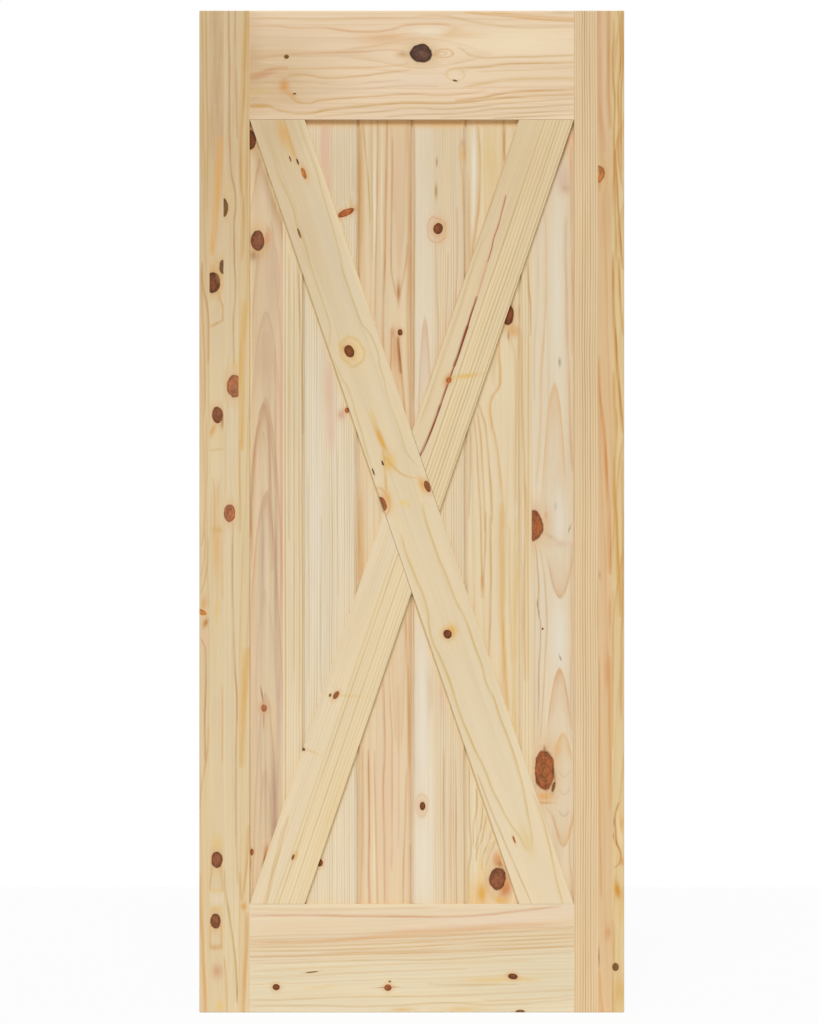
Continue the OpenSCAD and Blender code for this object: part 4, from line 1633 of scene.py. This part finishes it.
pine(
    "plank_6", (288.0, 1067.0), UPRIGHT, PLANK_FACE, 10.0, blush=0.2,
    glue=((255.6, 0.0),),
    strips=(
        Strip((60, 1000), 1500, 7, 60, (229, 209, 171), (206, 168, 112), 0.85, 3),
        Strip((318, 807), 9000, 8, 55, (225, 207, 176), (212, 178, 138), 0.25, 4),
    ),
    knots=(
        Knot(258, 1037, 64, 46, "red"),
        Knot(283, 515, 84, 44, "red"),
        Knot(279, 817, 5, 4, "black"),
        Knot(302, 480, 22, 7, "pin", 14),
    ),
    swells=(
        Swell(275, 1034, 150, 45, 1.2),
        Swell(283, 517, 150, 45, 1.4),
    ),
    arches=(
        Arch(304, 1334, -110, 19, 70, (220, 184, 138), 0.9, 2.6),
        Arch(316, 884, 56, 23, 24, (213, 178, 138), 1, 1.9),
        Arch(315, 730, -75, 20, 32, (215, 172, 126), 1, 2.2),
        Arch(322, 593, -46, 18, 26, (222, 182, 130), 0.9, 1.5),
        Arch(323, 354, 55, 22, 22, (216, 180, 132), 1, 1.8),
        Arch(325, 416, 14, 13, 4, (194, 166, 140), 0.6, 1.4),
        Arch(325, 462, 14, 13, 4, (196, 168, 142), 0.5, 1.4),
        Arch(325, 500, 14, 13, 4, (198, 172, 146), 0.45, 1.4),
    ),
    stains=(
        Stain(312, 1520, 200, 14, (228, 219, 198), 0.7),
        Stain(315, 800, 90, 15, (229, 221, 203), 0.8),
        Stain(315, 1050, 60, 14, (229, 220, 204), 0.7),
        Stain(324, 1776, 28, 15, (214, 184, 158), 0.8),
        Stain(328, 1756, 9, 10, (200, 162, 132), 0.6, 30),
        # Painted shade: warm tan on the plank along the upper brace's lower edge, near the top rail.
        Stain(325, 1846, 52, 7, (196, 150, 98), 0.9, 19),
        Stain(339, 1850, 50, 5, (240, 194, 154), 0.9, 4),
        Stain(301, 478, 13, 3.6, (96, 52, 26), 1, 10),
        Stain(305, 496, 14, 1.8, (150, 96, 56), 0.8, 8),
        Stain(284, 460, 9, 18, (224, 170, 102), 0.9),
        Stain(283, 446, 3, 18, (208, 156, 92), 0.8),
        Stain(310, 562, 14, 8, (226, 184, 122), 0.8),
        Stain(315.5, 1386, 9, 2.8, (150, 148, 132), 0.8),
        Stain(320, 998, 8, 24, (220, 194, 166), 0.9, 4),
        Stain(294, 1014, 5, 14, (210, 182, 152), 0.8, 30),
        Stain(268, 870, 11, 1.3, (110, 86, 58), 0.9),
        Stain(271, 850, 9, 1.3, (150, 106, 66), 0.8),
        Stain(317, 755, 6, 1.5, (128, 116, 94), 0.9, -20),
        Stain(283, 560, 7, 3, (110, 54, 28), 0.9),
        Stain(336, 1030, 8, 1.3, (136, 128, 110), 0.8, 20),
        Stain(306, 1078, 8, 3, (190, 178, 156), 0.6),
        Stain(286, 1060, 8, 3, (222, 158, 116), 0.7),
    ),
    veins=(
        Vein(
            (214, 174, 126), 2.2, 0.65,
            ((285, 1720), (287, 1600), (286, 1500), (281, 1420), (277, 1350), (276, 1280), (272, 1200),
             (266, 1120)),
        ),
        Vein((206, 186, 156), 1.6, 0.6, ((264, 1700), (269, 1600), (268, 1500), (263, 1420), (262, 1300))),
        Vein(
            (210, 166, 116), 2.6, 0.75,
            ((330, 1700), (329, 1600), (331, 1520), (333, 1440), (335, 1380), (337, 1300), (340, 1220),
             (345, 1150)),
        ),
        Vein((210, 164, 112), 2.0, 0.7, ((340, 1850), (341, 1700), (343, 1560), (343, 1400))),
        Vein(
            (190, 140, 90), 1.2, 0.8,
            ((263, 1000), (269, 940), (272, 890), (271, 855), (275, 830), (274, 780), (271, 720),
             (271, 660), (268, 600)),
        ),
        Vein(
            (206, 172, 124), 1.4, 0.8,
            ((274, 990), (283, 930), (287, 890), (289, 840), (287, 790), (283, 730), (281, 680),
             (278, 620), (273, 580)),
        ),
        Vein(
            (208, 174, 126), 1.3, 0.7,
            ((258, 990), (262, 930), (263, 850), (262, 760), (262, 650), (259, 560)),
        ),
        Vein((210, 166, 114), 1.8, 0.7, ((285, 440), (298, 420), (307, 395), (316, 368))),
        Vein((208, 170, 122), 1.8, 0.7, ((343, 1000), (341, 900), (342, 800), (340, 700), (343, 600))),
        Vein((214, 170, 112), 2.0, 0.7, ((341, 400), (337, 330), (342, 280), (341, 210))),
        Vein((196, 150, 90), 1.8, 0.8, ((247, 1600), (250, 1540), (254, 1500), (254, 1440))),
        Vein(
            (206, 160, 94), 2.2, 0.8,
            ((236, 1460), (237, 1300), (241, 1150), (243, 1040), (240, 900), (243, 700)),
        ),
        Vein((214, 172, 104), 2.0, 0.6, ((250, 1450), (250, 1300), (249, 1100), (248, 900), (250, 700))),
        glow((220.8, 1536), (263.8, 1662)),
        glow((245.8, 1609), (308.8, 1792)),
    ),
)

# %% [markdown]
# The braces lie flush with the frame and lean with the diagonal of the opening. The lean follows from the
# opening and the width of a brace, because a brace is trimmed to the corners. The long one is pale and
# quiet: two veins wander down near its edges and meet in a point near its foot, as on a wide flat-sawn
# board.

# %% Long brace
OPENING = (691.0, 1671.0)
BRACE_WIDTH = 111.0
diagonal = math.hypot(*OPENING)
BRACE_LEAN = math.degrees(math.acos(BRACE_WIDTH / diagonal) - math.atan2(OPENING[1], OPENING[0]))
print("brace lean", round(BRACE_LEAN, 2), "degrees")

pine(
    "long_brace", (0.0, 1066.5), -BRACE_LEAN, FRONT, 11.0, blush=0.1, streaks=0.08,
    strips=(
        Strip((248, 350), -2400, 14, 60, (227, 207, 170), (212, 186, 134), 0.25, 4, 0.84),
    ),
    knots=(
        Knot(-133, 1408, 27, 21, "dark"),
        Knot(76, 806, 19, 18, "dark"),
        Knot(-63, 1084, 32, 17, "red"),
        Knot(33, 1121, 24, 12, "red"),
        Knot(-230, 1787, 26, 9, "amber"),
        Knot(-243, 1812, 14, 4, "black"),
        Knot(-259, 1818, 13, 3, "pin"),
        Knot(-240, 1660, 22, 4.5, "pin"),
        Knot(-62, 1170, 11, 4, "black"),
        Knot(-82, 1152, 16, 3.5, "black"),
        Knot(218, 368, 16, 4, "orange"),
    ),
    stains=(
        Stain(-250, 1700, 260, 60, (212, 187, 148), 0.7),
        Stain(-286, 1880, 70, 70, (204, 178, 136), 0.6),
        Stain(205, 480, 300, 70, (230, 212, 180), 0.5),
        Stain(-176, 1640, 170, 13, (217, 199, 168), 0.7),
        Stain(-272, 1872, 34, 12, (218, 172, 108), 0.85, 4),
        Stain(-254, 1835, 30, 7, (222, 180, 120), 0.7),
        Stain(-226, 1790, 18, 6, (224, 168, 112), 0.7),
        Stain(-126, 1408, 22, 19, (236, 206, 146), 1.1),
        Stain(-144, 1413, 8, 5, (224, 168, 96), 0.7),
        Stain(84, 814, 13, 12, (226, 178, 92), 0.95),
        Stain(-83, 1270, 16, 3.4, (230, 198, 112), 0.8),
        Stain(-66, 1222, 34, 5.4, (220, 170, 84), 1.1, -4),
        Stain(-48, 1172, 20, 13, (226, 186, 106), 0.9, 20),
        Stain(22, 1124, 18, 7, (226, 176, 98), 0.9),
        Stain(-52, 1096, 22, 8, (226, 170, 102), 0.8),
        Stain(-18, 1086, 5, 7, (232, 202, 116), 0.8),
        Stain(-7, 1081, 8, 3, (230, 200, 116), 0.7),
        Stain(245, 365, 34, 12, (222, 194, 128), 0.7),
        Stain(270, 300, 60, 20, (230, 206, 174), 0.3),
    ),
    rings=(
        Ring(-127, 1408, 31, 24, 2.8, (218, 182, 110), 0.6),
        Ring(-63, 1090, 28, 15, 1.6, (212, 160, 86), 0.5),
    ),
    veins=(
        Vein(
            (206, 178, 120), 1.5, 0.8,
            ((-326, 1912), (-310, 1865), (-297, 1835), (-285, 1790), (-268, 1750), (-252, 1710),
             (-245, 1680), (-228, 1640), (-217, 1600), (-205, 1560), (-193, 1525), (-183, 1495),
             (-175, 1468), (-174, 1440), (-176, 1410)),
        ),
        Vein(
            (212, 180, 116), 1.7, 0.8,
            ((-168, 1392), (-158, 1374), (-148, 1350), (-137, 1334), (-128, 1310), (-118, 1275),
             (-107, 1240), (-98, 1205), (-86, 1165)),
        ),
        Vein(
            (208, 180, 122), 1.6, 0.8,
            ((-242, 1912), (-228, 1860), (-216, 1830), (-205, 1800), (-197, 1770), (-183, 1720),
             (-170, 1680), (-162, 1650), (-150, 1605), (-142, 1565), (-130, 1530), (-120, 1500),
             (-110, 1475), (-95, 1455), (-80, 1430), (-72, 1410), (-68, 1380), (-60, 1355), (-50, 1310),
             (-40, 1280), (-25, 1240), (-15, 1205), (0, 1180), (18, 1160)),
        ),
        # Painted highlight: a pale line along the long brace's upper edge, where its rounded arris catches
        # the light.
        Vein((236, 214, 172), 2.6, 0.8, ((-231, 1902), (-180, 1754), (-130, 1608), (-90, 1492))),
        Vein((206, 164, 96), 1.8, 0.8, ((-270, 1912), (-262, 1870), (-252, 1838), (-244, 1818))),
        Vein((214, 168, 92), 2.0, 0.9, ((-62, 1200), (-58, 1175), (-56, 1150), (-53, 1110))),
        Vein((216, 170, 88), 2.2, 0.9, ((-56, 1185), (-38, 1162), (-14, 1144), (16, 1139))),
        Vein(
            (210, 178, 114), 2.0, 0.95,
            ((27, 1090), (33, 1040), (45, 1005), (57, 970), (70, 940), (83, 905), (97, 870), (110, 848),
             (122, 820), (135, 780), (150, 740), (160, 700), (175, 670), (188, 630), (200, 600),
             (215, 560), (228, 515), (237, 480), (243, 450), (248, 420), (254, 390), (256, 362),
             (251, 342)),
        ),
        Vein(
            (210, 178, 112), 2.0, 0.95,
            ((-22, 1020), (-8, 970), (0, 950), (12, 920), (25, 890), (35, 855), (38, 820), (45, 790),
             (60, 760), (72, 730), (83, 700), (95, 660), (105, 630), (118, 600), (133, 565), (148, 535),
             (160, 508), (170, 480), (185, 450), (200, 420), (215, 395), (230, 375), (240, 356),
             (250, 342)),
        ),
        Vein(
            OLIVE, 1.4, 0.7,
            ((140, 510), (155, 470), (170, 430), (185, 395), (200, 360), (215, 325), (232, 285),
             (250, 245), (262, 215)),
        ),
        Vein(
            (208, 172, 110), 1.6, 0.8,
            ((258, 470), (268, 445), (279, 412), (290, 370), (300, 325), (310, 280), (325, 220)),
        ),
    ),
)

# %% [markdown]
# The short braces have close straight lines on one side and plain wood on the other. A thin red-brown
# streak, the very heart of the tree, runs down the upper one from near its top to the crossing.

# %% Short braces
pine(
    "upper_short_brace", (175.0, 1500.0), BRACE_LEAN, FRONT, 12.0, melt=8.0, blush=0.1,
    glue=((142.0, 1501.0),),
    strips=(
        Strip((-180, 1600), 2600, 7.4, 60, (226, 204, 165), (206, 177, 128), 0.4, 2.5),
        Strip((-180, 1600), 2600, 7.4, 60, (231, 209, 167), (182, 146, 90), 0.85, 2.5, 0.5),
    ),
    knots=(
        Knot(79, 1347, 12, 11, "orange"),
    ),
    stains=(
        Stain(116, 1356, 5, 30, (224, 184, 98), 0.8, -26),
        Stain(76, 1347, 14, 8, (212, 140, 74), 0.7),
        Stain(250, 1800, 120, 60, (218, 188, 142), 0.4),
    ),
    veins=(
        Vein(
            (182, 98, 70), 1.3, 1.2,
            ((201, 1742), (193, 1706), (185, 1677), (176, 1652), (170, 1626), (161, 1596)),
        ),
        Vein((212, 152, 120), 2.2, 0.7, ((163, 1606), (155, 1575), (145, 1540), (135, 1508))),
        Vein((140, 64, 36), 1.5, 1.4, ((140, 1526), (125, 1480), (117, 1452), (108, 1425))),
        Vein((136, 60, 32), 2.2, 1.7, ((121, 1464), (108, 1425), (100, 1400), (91, 1374))),
        Vein((150, 74, 42), 1.5, 1.4, ((97, 1392), (84, 1356), (78, 1340), (66, 1306), (55, 1276))),
        Vein((140, 64, 36), 1.9, 1.5, ((62, 1296), (55, 1276), (42, 1240), (30, 1210), (15, 1178))),
        Vein(
            OLIVE, 1.4, 0.7,
            ((222, 1880), (196, 1800), (170, 1725), (140, 1640), (104, 1540), (70, 1440), (30, 1320)),
        ),
        Vein(OLIVE, 1.4, 0.6, ((160, 1660), (128, 1580), (100, 1490), (74, 1415), (46, 1335), (16, 1250))),
    ),
)
pine(
    "lower_short_brace", (-175.0, 630.0), BRACE_LEAN, FRONT, 13.0, melt=8.0, blush=0.1,
    glue=((-164.0, 634.0),),
    strips=(
        Strip((-560, 740), 2600, 7.4, 60, (229, 209, 174), (210, 184, 138), 0.4, 2.5),
        Strip((-560, 740), 2600, 7.4, 60, (231, 210, 170), (198, 165, 108), 0.65, 2.5, 0.5),
    ),
    knots=(
        Knot(-161, 676, 18, 10, "red", 14),
        Knot(-174, 676, 7, 5, "pin"),
        Knot(-231, 561, 6, 9, "black", 30),
        Knot(-253, 331, 13, 5, "pin"),
    ),
    stains=(
        Stain(-214, 556, 2.6, 16, YELLOW, 0.8, 4),
        Stain(-130, 674, 3, 30, YELLOW, 0.5, -16),
        Stain(-178, 400, 120, 16, (228, 200, 148), 0.5),
        Stain(-248, 334, 10, 4, (220, 170, 90), 0.8),
    ),
    veins=(
        Vein((204, 162, 96), 1.8, 0.8, ((-290, 420), (-305, 365), (-322, 310), (-342, 250), (-352, 220))),
        Vein((206, 168, 104), 1.6, 0.8, ((-262, 420), (-276, 365), (-290, 310), (-300, 270), (-310, 225))),
        Vein((206, 168, 104), 1.4, 0.7, ((-272, 400), (-285, 350), (-297, 300), (-306, 260), (-318, 215))),
    ),
)

# %% [markdown]
# Inside the corner joints are fluted beech dowels. They don't show on the finished door, but someone who
# takes it apart finds them: beech is short-grained and pinkish with tiny dark flecks.

# %% Dowels
SMALL_BUMP = 0.5
BARE_WOOD = 0.0
BARE_METAL = 1.0


def plain_axes(tree):
    """The place on a piece in millimetres, as three fields."""
    where = tree.nodes.new("ShaderNodeTexCoord")
    return [axis / MM for axis in split(Field(where.outputs["Object"]))]


def finish_with(material, colour, roughness, height, metal):
    """A plain finish from fields: colour, roughness and the height of its bump in millimetres."""
    tree = material.node_tree
    surface = tree.nodes.new("ShaderNodeBsdfPrincipled")
    plug(surface.inputs["Base Color"], colour)
    plug(surface.inputs["Roughness"], roughness)
    surface.inputs["Metallic"].default_value = metal
    bump = tree.nodes.new("ShaderNodeBump")
    bump.inputs["Strength"].default_value = SMALL_BUMP
    bump.inputs["Distance"].default_value = MM
    plug(bump.inputs["Height"], height)
    tree.links.new(bump.outputs["Normal"], surface.inputs["Normal"])
    out = tree.nodes.new("ShaderNodeOutputMaterial")
    tree.links.new(surface.outputs["BSDF"], out.inputs["Surface"])


def put_on(material, ending):
    """Gives the material to every CAD piece whose name ends so."""
    dressed = [name for name in nodes if name.endswith(ending)]
    for name in dressed:
        nodes[name].data.materials.clear()
        nodes[name].data.materials.append(material)
    print(material.name, "on", sorted(dressed))


beech = bpy.data.materials.new("dowel_beech")
beech.use_nodes = True
beech.node_tree.nodes.clear()
x, y, z = plain_axes(beech.node_tree)
along_dowel = joined(x, z, y)
beech_fibre = noise(along_dowel, long=22.0, wide=0.6, seed=41.0)
beech_fleck = noise(along_dowel, long=4.0, wide=0.4, seed=43.0).ramp(0.10, 0.22)
beech_colour = blend(
    beech.node_tree, beech_fibre * 0.9 + 0.5, wood_colour(214, 178, 138), wood_colour(190, 148, 108)
)
beech_colour = blend(beech.node_tree, beech_fleck * 0.6, beech_colour, wood_colour(142, 98, 66))
beech_roughness = beech_fibre * 0.2 + 0.55
beech_height = beech_fibre * 0.10 - beech_fleck * 0.05
finish_with(beech, beech_colour, beech_roughness, beech_height, BARE_WOOD)
put_on(beech, "_dowels")

# %% [markdown]
# Brads hold the planks to the braces from the back. A brad is bright drawn steel: faint lines run along
# it from the die it was pulled through, and a little tarnish dulls it here and there.

# %% Brads
steel = bpy.data.materials.new("brad_steel")
steel.use_nodes = True
steel.node_tree.nodes.clear()
x, y, z = plain_axes(steel.node_tree)
along_brad = joined(y, x, z)
drawn_lines = noise(along_brad, long=6.0, wide=0.12, seed=51.0)
tarnish = noise(along_brad, long=9.0, wide=3.0, seed=53.0)
steel_colour = blend(
    steel.node_tree, tarnish * 1.6 + 0.4, wood_colour(176, 176, 178), wood_colour(140, 138, 134)
)
steel_roughness = drawn_lines * 0.4 + tarnish * 0.3 + 0.36
finish_with(steel, steel_colour, steel_roughness, drawn_lines * 0.02, BARE_METAL)
put_on(steel, "_brads")
